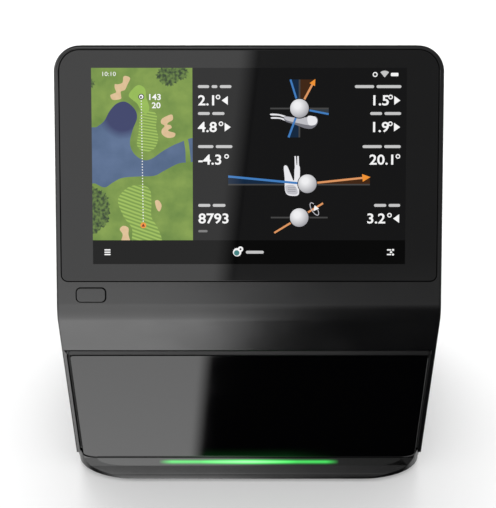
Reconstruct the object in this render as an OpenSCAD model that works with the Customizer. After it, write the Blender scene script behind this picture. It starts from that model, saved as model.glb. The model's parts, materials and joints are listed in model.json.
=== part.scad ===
// Golf launch monitor: a leaning touch screen above an upright camera window.
// X points right, Y points back and Z points up. The origin is on the floor, under the middle.

/* [Body] */
// Width of the body
body_w = 267; // [266:0.5:272]
// Depth of the body, from the window wall to the rear wall
body_d = 147.5; // [147:0.5:152]
// How far the front bumper stands out from the window wall
bumper_reach = 12.5; // [12:0.1:13]
// Height of the bend between the window wall and the screen face
bend_z = 185; // [184:0.5:188]
// Length of the screen face, from the bend to the top edge
face_len = 185.6; // [185.6:0.2:188]
// Lean of the screen face back from upright, in degrees
screen_tilt = 40.9; // [40.5:0.1:41.5]
// Wall thickness of the housings
wall = 2.5; // [2.3:0.1:2.6]
// Depth of the front housing behind the front faces
split_d = 16; // [15.5:0.1:16.5]
// Clear height under the body
foot_gap = 4; // [3.8:0.1:4.4]

/* [Rounding] */
// Corner radius of the screen face
head_r = 18; // [15:1:20]
// Radius of the bend below the screen
bend_r = 20; // [18:1:22]
// Rounding of the long front edges
edge_r = 3; // [2:0.5:3]
// Rounding of the upright rear edges
rear_r = 10; // [6:1:12]

/* [Screen] */
// Width of the cover glass
glass_w = 259.5; // [258:0.5:260]
// Height of the cover glass
glass_h = 158.8; // [158:0.2:159]
// Distance from the bend to the lower edge of the cover glass
glass_v = 23; // [22.8:0.1:23.2]
// Width of the display module
panel_w = 229; // [226:1:230]
// Height of the display module
panel_h = 149; // [146:1:150]

/* [Window] */
// Width of the camera window
window_w = 258.6; // [256:0.2:259]
// Height of the upper edge of the camera window
window_top = 139; // [136:1:139]
// Height of the lower edge of the camera window
window_bottom = 14.6; // [14.6:0.1:14.8]
// Distance between neighbouring cameras
camera_pitch = 92; // [90:1:94]
// Height of the cameras
camera_z = 100; // [96:1:104]

/* [Power button] */
// Length of the button
button_w = 20; // [18:0.5:20]
// Height of the button
button_h = 9.4; // [9:0.2:9.6]
// Travel of the button
button_travel = 1; // [0.6:0.1:1]

/* [Levelling feet] */
// Distance of each levelling foot from the middle
foot_x = 112; // [112:0.5:112.5]
// Radius of the thumbwheel
wheel_r = 18; // [17.5:0.1:18]
// Radius of the threaded stem
stem_r = 4; // [3.8:0.1:4]
// Travel of the foot
foot_travel = 6; // [4:0.5:6]

/* [Rear] */
// Width of the battery door
battery_door_w = 126; // [124:0.5:126]
// Height of the battery door
battery_door_h = 64; // [64:0.5:66]
// Width of the port door
port_door_w = 70; // [70:0.5:72]
// Height of the port door
port_door_h = 52; // [52:0.5:54]
// Width of the cooling fan
fan_w = 60; // [58:1:60]

/* [Hidden] */
$fn = 48;

seam = 0.2;
half_w = body_w / 2;
back_y = (body_d + bumper_reach) / 2;
front_y = back_y - body_d;
base_t = 3;
base_top = foot_gap + base_t;
inner_x = half_w - wall;
inner_back = back_y - wall;

// Side view points, as [y, z]
face_up = [sin(screen_tilt), cos(screen_tilt)];
face_in = [cos(screen_tilt), -sin(screen_tilt)];
bend = [front_y, bend_z];
crown = bend + face_len * face_up;
shoulder = crown + (back_y - crown.x) / cos(screen_tilt) * face_in;
bend_mitre = ([1, 0] + face_in) / (1 + cos(screen_tilt));

// Outlines as lists of [corner, radius], anticlockwise
side_view = [[[front_y, foot_gap], 0], [[back_y, foot_gap], 0], [shoulder, 12], [crown, 3.5], [bend, bend_r]];
plan_view = [[[-half_w, front_y], edge_r], [[half_w, front_y], edge_r],
    [[half_w, back_y], rear_r], [[-half_w, back_y], rear_r]];
face_view = [[[-half_w, -220], 0], [[half_w, -220], 0], [[half_w, face_len], head_r], [[-half_w, face_len], head_r]];
end_view = [[[-half_w, -270], 0], [[half_w, -270], 0], [[half_w, 0], edge_r], [[-half_w, 0], edge_r]];

// Screen stack, as depths along the face's outward normal
glass_top = -0.2;
glass_t = 1.8;
glass_back = glass_top - glass_t;
panel_front = glass_back - 0.6;
panel_t = 5.2;
bracket_front = panel_front - panel_t - 0.2;
bracket_t = 1.4;
bracket_back = bracket_front - bracket_t;
ledge_back = -5;
board_front = -20;
board_t = 1.6;
board_back = board_front - board_t;
glass_mid_v = glass_v + glass_h / 2;
opening_w = glass_w - 7.5;
opening_h = glass_h - 6.8;
case_boss_v = [46, 126];
bracket_ear_v = [76, 160];
board_post = [80, 40];
board_mid_v = 75;
chip_x = 45;

// Camera window and what stands behind it
window_face = front_y + 1.5;
window_t = 2.5;
carrier_front = window_face + window_t;
carrier_t = 6;
bench_y = front_y + 25.5;
bench_t = 3;
window_cut_w = body_w - 4;
window_curve = [11, 5];
bevel_h = 6;

// Front bumper
bumper_half = half_w - 0.5;
bumper_back = front_y + 10;
bumper_corner = [45, bumper_reach + 10];
bar_run = 4;
bar_low = 9.5;
bar_rise = window_bottom - bar_low;
bar_slope = atan2(bar_rise, bar_run);
bar_len = norm([bar_run, bar_rise]);
bar_half = 118;

// Power button centre, on the screen face
button_at = [-109.5, 13.4];
button_r = 2.8;

// Levelling feet
foot_y = back_y - 0.2 - wheel_r;
wheel_z = base_top + 6;
wheel_t = 8;
wheel_fit = 0.05;
peg_offset = 9.2;

// Doors in the rear wall: the leaf is as thick as the frame around it
leaf_t = 4;
leaf_y = back_y - leaf_t / 2;
leaf_gap = 0.3;
door_z = 28;
battery_hinge_x = -102;
port_hinge_x = 106;
pin_r = 1;
pin_reach = 4;

// Handle
pocket_half = 62;
pocket_z = [236, 288];
pocket_front = back_y - 40;
pocket_t = 2;
pocket_r = 4;
bar_z = [262, 284];
handle_screw_at = [back_y - 8, (bar_z[0] + bar_z[1]) / 2];

// Cooling and sound
fan_at = [45, 190];
fan_t = 15;
grille_t = 1.5;
speaker_at = [-50, 176];
speaker_r = 22;

// Screw sizes, as [shank radius, head radius, head height]
m3 = [1.5, 2.8, 1.6];
m2 = [1, 1.9, 1.2];
screw_gap = 0.05;

// Base screws, as [x, y]: housing, rear housing, rear wall and bumper
front_boss_at = [125, front_y + 13.3];
side_boss_at = [125, 19];
rear_boss_at = [[-54, inner_back - 6], [28, inner_back - 6]];
bumper_tab_x = [-80, 0, 80];
bumper_tab_y = front_y + 14;
base_screw_at = [for (s = [-1, 1]) [s * front_boss_at.x, front_boss_at.y],
    for (s = [-1, 1]) [s * side_boss_at.x, side_boss_at.y],
    each rear_boss_at,
    for (x = bumper_tab_x) [x, bumper_tab_y]];
tray_post_at = [[-84, 36], [8, 36], [-76, 70], [8, 70]];
bench_screw_at = [for (x = [-100, -34, 34, 100]) [x, bench_y + 13]];
front_foot_at = [[-104, front_y + 23], [104, front_y + 23]];

function unit(v) = v / norm(v);

// Points on an ellipse about c, from angle a to angle b
function ellipse_arc(c, r, a, b, steps = 8) =
    [for (s = [0:steps]) let (t = a + (b - a) * s / steps) c + [r.x * cos(t), r.y * sin(t)]];

// Points of a convex outline of [corner, radius] pairs, moved inward by inset
function outline(corners, inset = 0, steps = 8) = [
    for (i = [0:len(corners) - 1])
        let (count = len(corners),
            point = corners[i][0],
            came = unit(point - corners[(i + count - 1) % count][0]),
            goes = unit(corners[(i + 1) % count][0] - point),
            in_a = [-came.y, came.x],
            in_b = [-goes.y, goes.x],
            arc_r = max(corners[i][1] - inset, 0),
            centre = point + max(corners[i][1], inset) * (in_a + in_b) / (1 + in_a * in_b),
            start = atan2(-in_a.y, -in_a.x),
            turn = (atan2(-in_b.y, -in_b.x) - start + 360) % 360)
        each arc_r > 0 ? ellipse_arc(centre, [arc_r, arc_r], start, start + turn, steps) : [centre]
];

function rect_corners(w, h, r) = [[[-w / 2, -h / 2], r], [[w / 2, -h / 2], r], [[w / 2, h / 2], r], [[-w / 2, h / 2], r]];

// Puts children on the screen face: x across, y up the face, z outward
module on_face(x = 0, v = 0, out = 0)
    translate([0, front_y, bend_z]) rotate([90 - screen_tilt, 0, 0]) translate([x, v, out]) children();

// Extrudes a [y, z] outline along X, about the middle
module along_x(length) rotate([90, 0, 90]) translate([0, 0, -length / 2]) linear_extrude(length) children();

// Extrudes an [x, z] outline back along Y, starting at y
module from_front(y, depth) translate([0, y + depth, 0]) rotate([90, 0, 0]) linear_extrude(depth) children();

// Box between two opposite corners
module block(low, high) translate(low) cube(high - low);

module rounded_plate(w, h, r, t) linear_extrude(t) polygon(outline(rect_corners(w, h, r), 0, 6));

// The closed body, moved inward by inset
module body_solid(inset) intersection() {
    along_x(body_w + 40) polygon(outline(side_view, inset, 12));
    translate([0, 0, -10]) linear_extrude(400) polygon(outline(plan_view, inset, 6));
    on_face(out = -300) linear_extrude(320) polygon(outline(face_view, inset, 10));
    on_face(v = 250) rotate([90, 0, 0]) linear_extrude(500) polygon(outline(end_view, inset, 5));
}

// Everything less than depth behind the front faces
module front_zone(depth) {
    out = 8;
    inner = bend + depth * bend_mitre;
    outer = bend - out * bend_mitre;
    along_x(body_w + 60) polygon([[front_y - out, -20], [front_y + depth, -20], inner, inner + 260 * face_up,
        outer + 260 * face_up, outer]);
}

// Hollow body, open underneath for the base plate
module shell() difference() {
    body_solid(0);
    body_solid(wall);
    translate([0, 0, -1]) linear_extrude(wall + foot_gap + 3) polygon(outline(plan_view, wall, 6));
}

// Screw along +Z with its head below the origin
module screw(size, length) {
    translate([0, 0, -size[2] / 2]) cylinder(r = size[0], h = length + size[2] / 2);
    translate([0, 0, -size[2]]) cylinder(r = size[1], h = size[2]);
}

module screw_hole(size, length) cylinder(r = size[0] + screw_gap, h = length);

// ---- Housings ----

module button_outline(grow) polygon(outline(rect_corners(button_w + 2 * grow, button_h + 2 * grow, button_r + grow), 0, 6));

module front_housing() color([0.10, 0.10, 0.11]) difference() {
    union() {
        intersection() {
            shell();
            front_zone(split_d);
        }
        // Ledge that carries the cover glass
        on_face(0, glass_mid_v, ledge_back) rounded_plate(body_w - 3, glass_h + 5.6, head_r - 1.5, -ledge_back - 1);
        // Bosses for the case screws
        for (side = [-1, 1], v = case_boss_v)
            on_face(side * (inner_x - 4.9), v, -split_d) translate([-5.1, -6, 0]) cube([10.2, 12, split_d - 4]);
        // Bosses for the base screws
        for (side = [-1, 1])
            translate([side * (inner_x - 5.9), front_boss_at.y, base_top + 5]) cube([12.2, 5, 10], center = true);
        // Posts for the button board
        for (x = [-13.4, 13.4]) on_face(button_at.x + x, button_at.y, -9.5) cylinder(r = 2.2, h = 8);
    }
    on_face(0, glass_mid_v, glass_back) rounded_plate(glass_w + 0.5, glass_h + 0.5, 14.2, 10);
    on_face(0, glass_mid_v, -20) rounded_plate(opening_w, opening_h, 10, 30);
    on_face(button_at.x, button_at.y, -6) linear_extrude(12) button_outline(0.3);
    // Window opening with a bevel along its upper edge
    from_front(front_y - 1, wall + 1.5) polygon([[-window_cut_w / 2, -1], [window_cut_w / 2, -1],
        [window_cut_w / 2, window_top - 3], [window_cut_w / 2 - 3.6, window_top + 0.6],
        [3.6 - window_cut_w / 2, window_top + 0.6], [-window_cut_w / 2, window_top - 3]]);
    along_x(window_cut_w) polygon([[front_y - 1, window_top + 0.6 + 1.5 * bevel_h],
        [front_y + 2, window_top + 0.6], [front_y - 1, window_top + 0.6]]);
    // Room for the front bumper
    block([-half_w - 5, front_y - 5, -1], [half_w + 5, bumper_back + seam, 22]);
    for (side = [-1, 1], v = case_boss_v)
        on_face(side * (inner_x - 5), v, -split_d - 1) screw_hole(m3, 10);
    for (side = [-1, 1], v = bracket_ear_v)
        on_face(side * (inner_x - 2.5), v, ledge_back - 1) screw_hole(m2, 2.8);
    for (side = [-1, 1])
        translate([side * front_boss_at.x, front_boss_at.y, base_top - 1]) screw_hole(m3, 9.5);
}

// Frame that thickens the rear wall around a door
module door_frame(x, w, h) block([x - leaf_t / 2 - 5, inner_back - 1.5, door_z - 5],
    [x + w + 5, inner_back + 0.5, door_z + h + 5]);

module door_opening(w, h) {
    block([-leaf_t / 2 - leaf_gap, -leaf_t, -leaf_gap], [w + leaf_gap, leaf_t, h + leaf_gap]);
    translate([0, 0, -pin_reach]) cylinder(r = pin_r, h = h + 2 * pin_reach);
}

module rear_housing() color([0.09, 0.09, 0.10]) difference() {
    union() {
        difference() {
            shell();
            front_zone(split_d + seam);
        }
        door_frame(battery_hinge_x, battery_door_w, battery_door_h);
        door_frame(port_hinge_x - port_door_w, port_door_w, port_door_h);
        // Lugs for the case screws
        for (side = [-1, 1], v = case_boss_v)
            on_face(side * (inner_x - 4.9), v, -split_d - seam - 4) translate([-5.1, -6, 0]) cube([10.2, 12, 4]);
        // Bosses for the base screws
        for (side = [-1, 1])
            translate([side * (inner_x - 5.9), side_boss_at.y, base_top + 5]) cube([12.2, 12, 10], center = true);
        for (at = rear_boss_at) translate([at.x, at.y, base_top + 5]) cube([12, 12.4, 10], center = true);
    }
    translate([battery_hinge_x, leaf_y, door_z]) door_opening(battery_door_w, battery_door_h);
    translate([port_hinge_x, leaf_y, door_z]) mirror([1, 0, 0]) door_opening(port_door_w, port_door_h);
    // Handle pocket, fan grille and speaker grille
    translate([0, 0, (pocket_z[0] + pocket_z[1]) / 2]) from_front(inner_back - 1, wall + 2)
        polygon(outline(rect_corners(2 * pocket_half + 0.2, pocket_z[1] - pocket_z[0] + 0.2, pocket_r + 0.1), 0, 6));
    translate([fan_at.x, 0, fan_at.y]) from_front(inner_back - 1, wall + 2)
        polygon(outline(rect_corners(fan_w + 4, fan_w + 4, 6), 0, 6));
    translate([speaker_at.x, 0, speaker_at.y]) from_front(inner_back - 1, wall + 2) circle(r = speaker_r + 2);
    // Slots for the thumbwheels
    for (side = [-1, 1])
        block([side * foot_x - 12, inner_back - 1, wheel_z - 1], [side * foot_x + 12, back_y + 1, wheel_z + wheel_t + 1]);
    for (side = [-1, 1], v = case_boss_v)
        on_face(side * (inner_x - 5), v, -split_d - 6) screw_hole(m3, 7);
    for (side = [-1, 1])
        translate([side * side_boss_at.x, side_boss_at.y, base_top - 1]) screw_hole(m3, 9.5);
    for (at = rear_boss_at) translate([at.x, at.y, base_top - 1]) screw_hole(m3, 9.5);
}

module base_plate() color([0.13, 0.13, 0.14]) difference() {
    union() {
        intersection() {
            translate([0, 0, foot_gap]) linear_extrude(base_t) polygon(outline(plan_view, wall + seam, 6));
            block([-half_w, bumper_back + seam, 0], [half_w, back_y, 20]);
        }
        // Guides for the levelling stems
        for (side = [-1, 1])
            translate([side * foot_x, foot_y, base_top - 0.5]) cylinder(r = 7, h = wheel_z - leaf_gap - base_top + 0.5);
        // Posts under the battery tray
        for (at = tray_post_at) translate([at.x, at.y, base_top - 0.5]) cylinder(r = 4, h = door_z + 1 - base_top + 0.5);
    }
    for (side = [-1, 1]) translate([side * foot_x, foot_y, foot_gap - 1]) {
        cylinder(r = stem_r + wheel_fit, h = 20);
        translate([0, -peg_offset, 0]) cylinder(r = 1.6, h = 6);
        translate([0, -21.8, 0]) screw_hole(m3, 6);
    }
    for (at = base_screw_at) translate([at.x, at.y, foot_gap - 1]) {
        cylinder(r = m3[1] + 0.2, h = 2.8);
        cylinder(r = m3[0] + 0.1, h = 6);
    }
    for (at = bench_screw_at) translate([at.x, at.y, foot_gap - 1]) screw_hole(m3, 6);
    for (at = front_foot_at) translate([at.x, at.y, foot_gap - 1]) cylinder(r = 2.6, h = 6);
    // Air intake slots
    for (x = [-60:10:60]) translate([x, 2, foot_gap - 1]) linear_extrude(6) polygon(outline(rect_corners(4, 36, 1.9), 0, 4));
}

// ---- Front bumper and status light ----

// On the slope above the bumper: x across, y up the slope, z outward
module on_slope(v = 0, out = 0)
    translate([0, front_y - bar_run, bar_low]) rotate([bar_slope, 0, 0]) translate([0, v, out]) children();

module bar_outline(grow) {
    r = [23 + grow, 6 + grow];
    low = [bar_half - 23, 6.2];
    polygon(concat(ellipse_arc([-low.x, low.y], r, 180, 270), ellipse_arc(low, r, 270, 360)));
}

module front_bumper() color([0.12, 0.12, 0.13]) difference() {
    union() {
        intersection() {
            linear_extrude(30) polygon(concat(
                ellipse_arc([bumper_corner.x - bumper_half, bumper_back], bumper_corner, 180, 270, 12),
                ellipse_arc([bumper_half - bumper_corner.x, bumper_back], bumper_corner, 270, 360, 12)));
            along_x(body_w) polygon(concat([[bumper_back, foot_gap]],
                ellipse_arc([front_y - bumper_reach + 3.9, foot_gap + 0.2], [3.9, 3.9], 180, 105, 5),
                [[front_y - bar_run, bar_low], [front_y, window_bottom], [front_y + 0.6, 21.8], [bumper_back, 21.8]]));
            from_front(front_y - 20, 40) polygon(concat([[-bumper_half, 0], [bumper_half, 0], [bumper_half, 21.8]],
                ellipse_arc([window_w / 2 - window_curve.x, window_bottom + window_curve.y],
                    window_curve + [0, seam], 0, -90),
                ellipse_arc([window_curve.x - window_w / 2, window_bottom + window_curve.y],
                    window_curve + [0, seam], -90, -180),
                [[-bumper_half, 21.8]]));
        }
        // Tabs that the base screws hold
        for (x = bumper_tab_x) block([x - 7, bumper_back - 4, base_top], [x + 7, bumper_tab_y + 5, base_top + 6]);
    }
    on_slope(out = -2.5) linear_extrude(10) bar_outline(0.1);
    on_slope(out = -6) block([-78, 0.8, 0], [78, 5.6, 8]);
    for (x = bumper_tab_x) translate([x, bumper_tab_y, base_top - 1]) screw_hole(m3, 9);
}

module light_bar() color([0.45, 0.85, 0.5]) on_slope(out = -2.4) linear_extrude(2.4) bar_outline(0);

module status_light_board() color([0.1, 0.4, 0.2]) {
    on_slope(out = -6) block([-76, 1, 0], [76, 5.4, 1]);
    for (x = [-70:14:70]) on_slope(out = -5.01) block([x - 1.6, 2, 0], [x + 1.6, 4.4, 1.4]);
}

// ---- Camera window and optics ----

module window_outline() polygon(concat(
    ellipse_arc([window_curve.x - window_w / 2, window_bottom + window_curve.y], window_curve, 180, 270),
    ellipse_arc([window_w / 2 - window_curve.x, window_bottom + window_curve.y], window_curve, 270, 360),
    ellipse_arc([window_w / 2 - 3, window_top - 3], [3, 3], 0, 90, 4),
    ellipse_arc([3 - window_w / 2, window_top - 3], [3, 3], 90, 180, 4)));

module window_panel() color([0.02, 0.02, 0.025]) from_front(window_face, window_t) window_outline();

module window_carrier() color([0.05, 0.05, 0.05]) difference() {
    union() {
        block([-inner_x, carrier_front, 22.2], [inner_x, carrier_front + carrier_t, window_top + 11]);
        block([-118, carrier_front, window_bottom + 0.4], [118, carrier_front + carrier_t, 23]);
        block([-118, front_y + wall + 0.1, window_top + 2], [118, carrier_front + 1, window_top + 11]);
    }
    block([-122, front_y, 27], [122, bench_y, 132]);
}

module optical_bench() color([0.35, 0.36, 0.38]) difference() {
    union() {
        block([-118, bench_y, base_top], [118, bench_y + bench_t, 146]);
        block([-110, bench_y, base_top], [110, bench_y + 18, base_top + 3]);
        for (x = [-110, -70, 70, 107]) block([x, bench_y + 1, base_top + 1], [x + 3, bench_y + 18, 60]);
    }
    for (i = [-1:1]) translate([i * camera_pitch, bench_y - 1, camera_z]) rotate([-90, 0, 0]) cylinder(r = 11.1, h = 6);
    for (at = bench_screw_at) translate([at.x, at.y, base_top - 1]) screw_hole(m3, 6);
}

module bench_screws() color("silver")
    for (at = bench_screw_at) translate([at.x, at.y, base_top + 3]) rotate([180, 0, 0]) screw(m3, 5.5);

// Camera i of three: its body sits behind the bench and its barrel passes through
module camera(i) color([0.15, 0.15, 0.17]) difference() {
    union() {
        translate([i * camera_pitch, bench_y + bench_t, camera_z]) block([-18, 0, -18], [18, 20, 18]);
        translate([i * camera_pitch, bench_y - 16, camera_z]) rotate([-90, 0, 0]) cylinder(r = 11, h = 16 + bench_t + 0.1);
        translate([i * camera_pitch, bench_y - 16, camera_z]) rotate([-90, 0, 0]) cylinder(r = 13, h = 10);
    }
    translate([i * camera_pitch, bench_y - 17, camera_z]) rotate([-90, 0, 0]) cylinder(r = 9.5, h = 5);
}

// Convex front lens, seated in the barrel's mouth
module lens(i) color([0.25, 0.3, 0.4]) translate([i * camera_pitch, bench_y - 12, camera_z]) rotate([90, 0, 0])
    intersection() {
        cylinder(r = 9.4, h = 4);
        translate([0, 0, -18]) sphere(r = 21, $fn = 64);
    }

// Light board i: its lamps look out through the window
module strobe(i) color([0.1, 0.35, 0.2]) {
    middle = [i * camera_pitch / 2, bench_y, 72];
    translate(middle) block([-17, -1.6, -28], [17, 0, 28]);
    for (x = [-8, 8], z = [-18, 0, 18]) translate(middle + [x, -1.5, z]) rotate([90, 0, 0]) cylinder(r = 3.2, h = 2.6);
}

// ---- Screen ----

module cover_glass() color([0.04, 0.04, 0.05])
    on_face(0, glass_mid_v, glass_back) rounded_plate(glass_w, glass_h, 14, glass_t);

module screen_gasket() color([0.2, 0.2, 0.2]) on_face(0, glass_mid_v, panel_front + 0.1) difference() {
    rounded_plate(opening_w - 1, opening_h - 1, 9, 0.5);
    translate([0, 0, -1]) rounded_plate(panel_w - 8, panel_h - 8, 3, 3);
}

module display_panel() color([0.3, 0.55, 0.3])
    on_face(0, glass_mid_v, panel_front - panel_t) rounded_plate(panel_w, panel_h, 2, panel_t);

module display_bracket() color([0.6, 0.6, 0.62]) difference() {
    union() {
        on_face(0, glass_mid_v, bracket_back) rounded_plate(236, 154, 4, bracket_t);
        for (side = [-1, 1], v = bracket_ear_v) {
            on_face(side * (inner_x - 9.5), v, bracket_back) translate([-9, -6, 0]) cube([18, 12, bracket_t]);
            on_face(side * (inner_x - 2.7), v, bracket_back) translate([-2.2, -6, 0]) cube([4.4, 12, ledge_back - bracket_back]);
        }
        for (x = [-1, 1], v = [-1, 1])
            on_face(x * board_post.x, board_mid_v + v * board_post.y, board_front) cylinder(r = 3, h = bracket_back - board_front + 0.5);
    }
    for (x = [-66, 12]) on_face(x, 0, bracket_back - 1) block([0, 58, 0], [54, 150, 4]);
    for (side = [-1, 1], v = bracket_ear_v) on_face(side * (inner_x - 2.5), v, bracket_back - 1) screw_hole(m2, 10);
    for (x = [-1, 1], v = [-1, 1])
        on_face(x * board_post.x, board_mid_v + v * board_post.y, board_front - 1) screw_hole(m2, 9);
}

module bracket_screws() color("silver") for (side = [-1, 1], v = bracket_ear_v)
    on_face(side * (inner_x - 2.5), v, bracket_back) screw(m2, 5.8);

// Flat cable from the display to the main board
module display_ribbon() color([0.75, 0.5, 0.2]) on_face(x = 20) rotate([90, 0, 90]) linear_extrude(20) polygon([
    [62, panel_front - panel_t - 0.1], [70.4, panel_front - panel_t - 0.1], [70.4, board_front + 0.1],
    [70, board_front + 0.1], [70, panel_front - panel_t - 0.5], [62, panel_front - panel_t - 0.5]]);

// ---- Electronics ----

module main_board() color([0.08, 0.35, 0.2]) {
    difference() {
        on_face(0, board_mid_v, board_back) rounded_plate(170, 90, 3, board_t);
        for (x = [-1, 1], v = [-1, 1])
            on_face(x * board_post.x, board_mid_v + v * board_post.y, board_back - 1) screw_hole(m2, 4);
    }
    on_face(chip_x, board_mid_v, board_back - 2) block([-14, -14, 0], [14, 14, 2.01]);
    for (x = [-70, -48]) on_face(x, board_mid_v - 38, board_back - 5) block([-8, -4, 0], [8, 4, 5.01]);
}

module board_screws() color("silver") for (x = [-1, 1], v = [-1, 1])
    on_face(x * board_post.x, board_mid_v + v * board_post.y, board_back) screw(m2, 9);

module board_shield() color([0.7, 0.7, 0.72]) on_face(-35, board_mid_v + 6, board_back - 4) difference() {
    block([-26, -22, 0], [26, 22, 4]);
    block([-25.4, -21.4, 0.6], [25.4, 21.4, 5]);
}

module heat_sink() color([0.5, 0.52, 0.55]) on_face(chip_x, board_mid_v, board_back - 2) {
    block([-30, -25, -3.5], [30, 25, 0]);
    for (x = [-28:7:28]) block([x - 0.8, -25, -20], [x + 0.8, 25, -3.4]);
}

module on_fan(y) translate([fan_at.x, y, fan_at.y]) rotate([-90, 0, 0]) children();

fan_front = inner_back - grille_t - fan_t - 0.2;

module fan_frame() color([0.12, 0.12, 0.12]) difference() {
    union() {
        difference() {
            on_fan(fan_front) rounded_plate(fan_w, fan_w, 4, fan_t);
            on_fan(fan_front - 1) cylinder(r = fan_w / 2 - 1.5, h = fan_t + 2);
        }
        on_fan(fan_front) cylinder(r = 12.5, h = 3);
        for (a = [45:90:315]) on_fan(fan_front) rotate([0, 0, a]) block([10, -2, 0], [fan_w / 2 + 2, 2, 3]);
    }
    on_fan(fan_front - 1) cylinder(r = 1.55, h = 6);
    for (x = [-1, 1], z = [-1, 1]) on_fan(fan_front - 1) translate([x * (fan_w / 2 - 5), z * (fan_w / 2 - 5), 0])
        cylinder(r = 2.1, h = fan_t + 2);
}

module fan_rotor() color([0.2, 0.2, 0.2]) {
    on_fan(fan_front + 3.4) cylinder(r = 12, h = 10.6);
    on_fan(fan_front + 0.2) cylinder(r = 1.5, h = 4);
    for (a = [0:360 / 7:359]) on_fan(fan_front + 8.6) rotate([0, 0, a]) rotate([35, 0, 0])
        block([11, -5.5, -0.8], [fan_w / 2 - 3.5, 5.5, 0.8]);
}

module vent_grille() color([0.07, 0.07, 0.08]) translate([fan_at.x, 0, fan_at.y]) difference() {
    union() {
        from_front(inner_back - 0.1, wall + 0.1) polygon(outline(rect_corners(fan_w + 3.6, fan_w + 3.6, 5.8), 0, 6));
        from_front(inner_back - grille_t, grille_t) polygon(outline(rect_corners(fan_w + 10, fan_w + 10, 8), 0, 6));
    }
    for (z = [-24:6:24]) translate([0, 0, z]) from_front(inner_back - 3, 8)
        polygon(outline(rect_corners(fan_w - 6, 3.2, 1.5), 0, 4));
}

module antenna() color([0.8, 0.6, 0.25]) block([0.2 - inner_x, 10, 182], [0.9 - inner_x, 50, 196]);

module on_speaker(y) translate([speaker_at.x, y, speaker_at.y]) rotate([-90, 0, 0]) children();

module speaker() color([0.15, 0.15, 0.15]) on_speaker(inner_back - grille_t - 14.2) {
    cylinder(r = 12, h = 8);
    difference() {
        translate([0, 0, 7]) cylinder(r1 = 14, r2 = speaker_r, h = 7);
        translate([0, 0, 11]) cylinder(r1 = 8, r2 = speaker_r - 2, h = 3.1);
    }
    translate([0, 0, 10]) cylinder(r = 7, h = 2.5);
}

module speaker_grille() color([0.07, 0.07, 0.08]) difference() {
    union() {
        on_speaker(inner_back - 0.1) cylinder(r = speaker_r + 1.8, h = wall + 0.1);
        on_speaker(inner_back - grille_t) cylinder(r = speaker_r + 5, h = grille_t);
    }
    on_speaker(inner_back - 3) for (x = [-4:4], z = [-4:4]) if (norm([x, z]) < 4.2)
        translate([x * 4.4, z * 4.4, 0]) cylinder(r = 1.2, h = 8, $fn = 16);
}

// ---- Power button ----

module power_button() color([0.2, 0.2, 0.21]) on_face(button_at.x, button_at.y) {
    translate([0, 0, -3.4]) linear_extrude(3.9) button_outline(0);
    translate([0, 0, -3.8]) rounded_plate(button_w + 1.6, button_h + 1.6, button_r, 1);
    translate([0, 0, -5.2]) cylinder(r = 2, h = 2);
}

module button_board() color([0.1, 0.4, 0.2]) on_face(button_at.x, button_at.y) {
    translate([0, 0, -11]) rounded_plate(32, 11, 1.5, 1.5);
    translate([0, 0, -9.51]) block([-3, -3, 0], [3, 3, 2.4]);
    translate([0, 0, -7.2]) cylinder(r = 1.6, h = 0.7);
}

// ---- Carrying handle ----

pocket_mid = (pocket_z[0] + pocket_z[1]) / 2;
pocket_h = pocket_z[1] - pocket_z[0];

module handle_pocket() color([0.08, 0.08, 0.09]) difference() {
    translate([0, 0, pocket_mid]) {
        from_front(pocket_front, back_y - pocket_front) polygon(outline(rect_corners(2 * pocket_half, pocket_h, pocket_r), 0, 6));
        from_front(inner_back - 2, 2) polygon(outline(rect_corners(2 * pocket_half + 10, pocket_h + 10, pocket_r + 5), 0, 6));
    }
    translate([0, 0, pocket_mid]) from_front(pocket_front + pocket_t, 60)
        polygon(outline(rect_corners(2 * (pocket_half - pocket_t), pocket_h - 2 * pocket_t, pocket_r - pocket_t), 0, 6));
    translate([-pocket_half - 5, handle_screw_at.x, handle_screw_at.y]) rotate([0, 90, 0])
        cylinder(r = m3[0] + screw_gap, h = 2 * pocket_half + 10);
}

module handle_bar() color([0.16, 0.16, 0.17]) difference() {
    translate([0, back_y - 7, (bar_z[0] + bar_z[1]) / 2]) along_x(2 * (pocket_half - pocket_t))
        polygon(outline(rect_corners(14, bar_z[1] - bar_z[0], 5), 0, 6));
    for (side = [-1, 1]) translate([side * (pocket_half - 12), handle_screw_at.x, handle_screw_at.y])
        rotate([0, side * 90, 0]) cylinder(r = m3[0] + screw_gap, h = 20);
}

module handle_screws() color("silver") for (side = [-1, 1])
    translate([side * pocket_half, handle_screw_at.x, handle_screw_at.y]) rotate([0, -side * 90, 0]) screw(m3, 11);

// ---- Battery ----

tray_x = [battery_hinge_x + 2, battery_hinge_x + battery_door_w - 3];
tray_z = [door_z + 1, door_z + battery_door_h - 1];
tray_front = back_y - 52;
tray_back = back_y - leaf_t - leaf_gap;

module battery_tray() color([0.18, 0.18, 0.19]) difference() {
    block([tray_x[0], tray_front, tray_z[0]], [tray_x[1], tray_back, tray_z[1]]);
    block([tray_x[0] + 2, tray_front + 2, tray_z[0] + 2], [tray_x[1] - 2, back_y, tray_z[1] - 2]);
    block([-26, tray_front - 1, 54], [-2, tray_front + 3, 68]);
}

module battery_pack() color([0.22, 0.22, 0.24]) difference() {
    block([tray_x[0] + 2.6, tray_front + 4, tray_z[0] + 2.6], [tray_x[1] - 2.6, tray_back - 1, tray_z[1] - 2.6]);
    block([-30, tray_back - 2.4, 50], [2, back_y, 72]);
    for (x = [-22:5:-7]) block([x, tray_front + 3, 57], [x + 2, tray_front + 6, 65]);
}

module battery_contacts() color([0.85, 0.65, 0.3]) {
    block([-25.5, tray_front - 3, 54.5], [-2.5, tray_front + 1.5, 67.5]);
    for (x = [-21.6:5:-6.6]) block([x, tray_front + 1.4, 58], [x + 1.2, tray_front + 5, 64]);
}

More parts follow.
